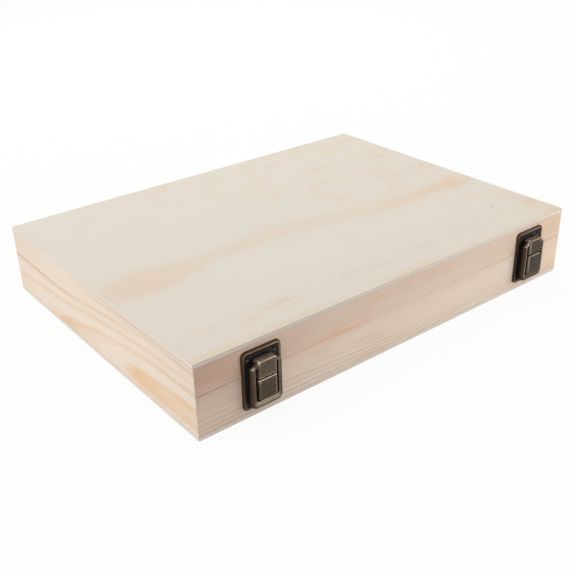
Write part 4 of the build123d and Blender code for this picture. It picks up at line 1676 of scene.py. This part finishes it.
# Where the lamps stand and the place that they light, and the sides of their squares, in metres.
LAMP_TARGET = Vector((0, 0, 0.03))
LEFT_LAMP = (Vector((-1.7, 0.3, 1.0)), 1.4)
FRONT_LAMP = (Vector((0.75, -0.75, 0.2)), 0.6)
BACK_LAMP = (Vector((0.6, 1.0, 1.0)), 1.0)

# The camera looks down on the front left corner, tilted a little to its left.
CAMERA_AIM = Vector((-42.94, -51.60, 27.5)) * MM
CAMERA_DISTANCE = 626.18 * MM
CAMERA_AZIMUTH = math.radians(-37.994)
CAMERA_ELEVATION = math.radians(28.083)
CAMERA_TILT = math.radians(-1.365)
LENS = 53.135
SENSOR_WIDTH = 36.0


def lamp(name, place, size, watts):
    """A soft square lamp that faces the box."""
    data = bpy.data.lights.new(name, "AREA")
    data.shape = "SQUARE"
    data.size = size
    data.energy = watts
    made = bpy.data.objects.new(name, data)
    made.location = place
    made.rotation_euler = (LAMP_TARGET - place).to_track_quat("-Z", "Y").to_euler()
    bpy.context.scene.collection.objects.link(made)


class BRUSH_BOX_OT_stage(PieceOperator, bpy.types.Operator):
    """Make the floor, the lamps and the camera"""

    bl_idname = "brush_box.stage"
    bl_label = "Floor, lamps and camera"

    def execute(self, context):
        look = context.scene.brush_box_stage
        self.floor(look)
        self.world(context.scene, look)
        lamp("left_lamp", *LEFT_LAMP, look.left_power)
        lamp("front_lamp", *FRONT_LAMP, look.front_power)
        lamp("back_lamp", *BACK_LAMP, look.back_power)
        self.camera(context.scene)
        context.scene.view_settings.view_transform = "Standard"
        return {"FINISHED"}

    def seen(self, finish):
        """1 on the rays that show the background to the eye, in metal or through glass."""
        path = [
            finish.node("ShaderNodeLightPath", output=ray)
            for ray in ("Is Camera Ray", "Is Glossy Ray", "Is Transmission Ray")
        ]
        return finish.clamped(path[0] + path[1] + path[2])

    def floor(self, look):
        mesh = bmesh.new()
        bmesh.ops.create_grid(
            mesh, x_segments=FLOOR_SQUARES, y_segments=FLOOR_SQUARES, size=look.floor_size / 2
        )
        data = bpy.data.meshes.new("floor")
        mesh.to_mesh(data)
        mesh.free()
        floor = bpy.data.objects.new("floor", data)
        floor.location.z = -FLOOR_GAP
        bpy.context.scene.collection.objects.link(floor)
        data.materials.append(material("floor", self.floor_finish))

    def floor_finish(self, paper):
        """Matt paper that is nearly plain white to the eye."""
        glow = bpy.context.scene.brush_box_stage.floor_glow
        matt = paper.node("ShaderNodeBsdfDiffuse", {}, {"Color": PAPER})
        white = paper.node("ShaderNodeEmission", {}, {"Color": WHITE, "Strength": 1.0})
        mixed = paper.node("ShaderNodeMixShader", {}, {0: self.seen(paper) * glow, 1: matt, 2: white})
        paper.node("ShaderNodeOutputMaterial", {}, {"Surface": mixed})
        return paper.owner

    def world(self, scene, look):
        """Soft light from all round, with a white background to the eye."""
        scene.world = bpy.data.worlds.new("studio")
        sky = Finish(scene.world)
        dim = sky.node("ShaderNodeBackground", {}, {"Color": WHITE, "Strength": look.sky})
        bright = sky.node("ShaderNodeBackground", {}, {"Color": WHITE, "Strength": 1.0})
        mixed = sky.node("ShaderNodeMixShader", {}, {0: self.seen(sky), 1: dim, 2: bright})
        sky.node("ShaderNodeOutputWorld", {}, {"Surface": mixed})

    def camera(self, scene):
        back = Vector((
            math.sin(CAMERA_AZIMUTH) * math.cos(CAMERA_ELEVATION),
            -math.cos(CAMERA_AZIMUTH) * math.cos(CAMERA_ELEVATION),
            math.sin(CAMERA_ELEVATION),
        ))
        level = Vector((0, 0, 1)).cross(back).normalized()
        upright = back.cross(level)
        right = level * math.cos(CAMERA_TILT) + upright * math.sin(CAMERA_TILT)
        up = upright * math.cos(CAMERA_TILT) - level * math.sin(CAMERA_TILT)
        data = bpy.data.cameras.new("camera")
        data.sensor_width = SENSOR_WIDTH
        data.lens = LENS
        made = bpy.data.objects.new("camera", data)
        turn = Matrix((right, up, back)).transposed().to_4x4()
        made.matrix_world = Matrix.Translation(CAMERA_AIM + back * CAMERA_DISTANCE) @ turn
        scene.collection.objects.link(made)
        scene.camera = made


class BRUSH_BOX_PT_sidebar(bpy.types.Panel):
    """Lists the box's pieces and their settings in the sidebar"""

    bl_idname = "BRUSH_BOX_PT_sidebar"
    bl_label = "Brush box"
    bl_space_type = "VIEW_3D"
    bl_region_type = "UI"
    bl_category = "Brush box"

    def draw(self, context):
        for operator in OPERATORS:
            self.layout.operator(operator.bl_idname)
        for group, settings_class in SETTINGS:
            box = self.layout.box()
            for name in settings_class.__annotations__:
                box.prop(getattr(context.scene, group), name)


OPERATORS = (
    BRUSH_BOX_OT_walls,
    BRUSH_BOX_OT_rails,
    BRUSH_BOX_OT_panels,
    BRUSH_BOX_OT_strike_plates,
    BRUSH_BOX_OT_base_plates,
    BRUSH_BOX_OT_levers,
    BRUSH_BOX_OT_hook_frames,
    BRUSH_BOX_OT_latch_pins,
    BRUSH_BOX_OT_latch_nails,
    BRUSH_BOX_OT_hinges,
    BRUSH_BOX_OT_hinge_nails,
    BRUSH_BOX_OT_stage,
)
SETTINGS = (
    ("brush_box_wood", WoodSettings),
    ("brush_box_brass", BrassSettings),
    ("brush_box_stage", StageSettings),
)


def register():
    for name, settings in SETTINGS:
        bpy.utils.register_class(settings)
        setattr(bpy.types.Scene, name, PointerProperty(type=settings))
    for operator in OPERATORS:
        bpy.utils.register_class(operator)
    bpy.utils.register_class(BRUSH_BOX_PT_sidebar)


def unregister():
    bpy.utils.unregister_class(BRUSH_BOX_PT_sidebar)
    for operator in reversed(OPERATORS):
        bpy.utils.unregister_class(operator)
    for name, settings in reversed(SETTINGS):
        delattr(bpy.types.Scene, name)
        bpy.utils.unregister_class(settings)


def main():
    """Makes every piece in order."""
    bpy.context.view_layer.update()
    register()
    for operator in OPERATORS:
        group, name = operator.bl_idname.split(".")
        getattr(getattr(bpy.ops, group), name)()


if __name__ == "__main__":
    main()
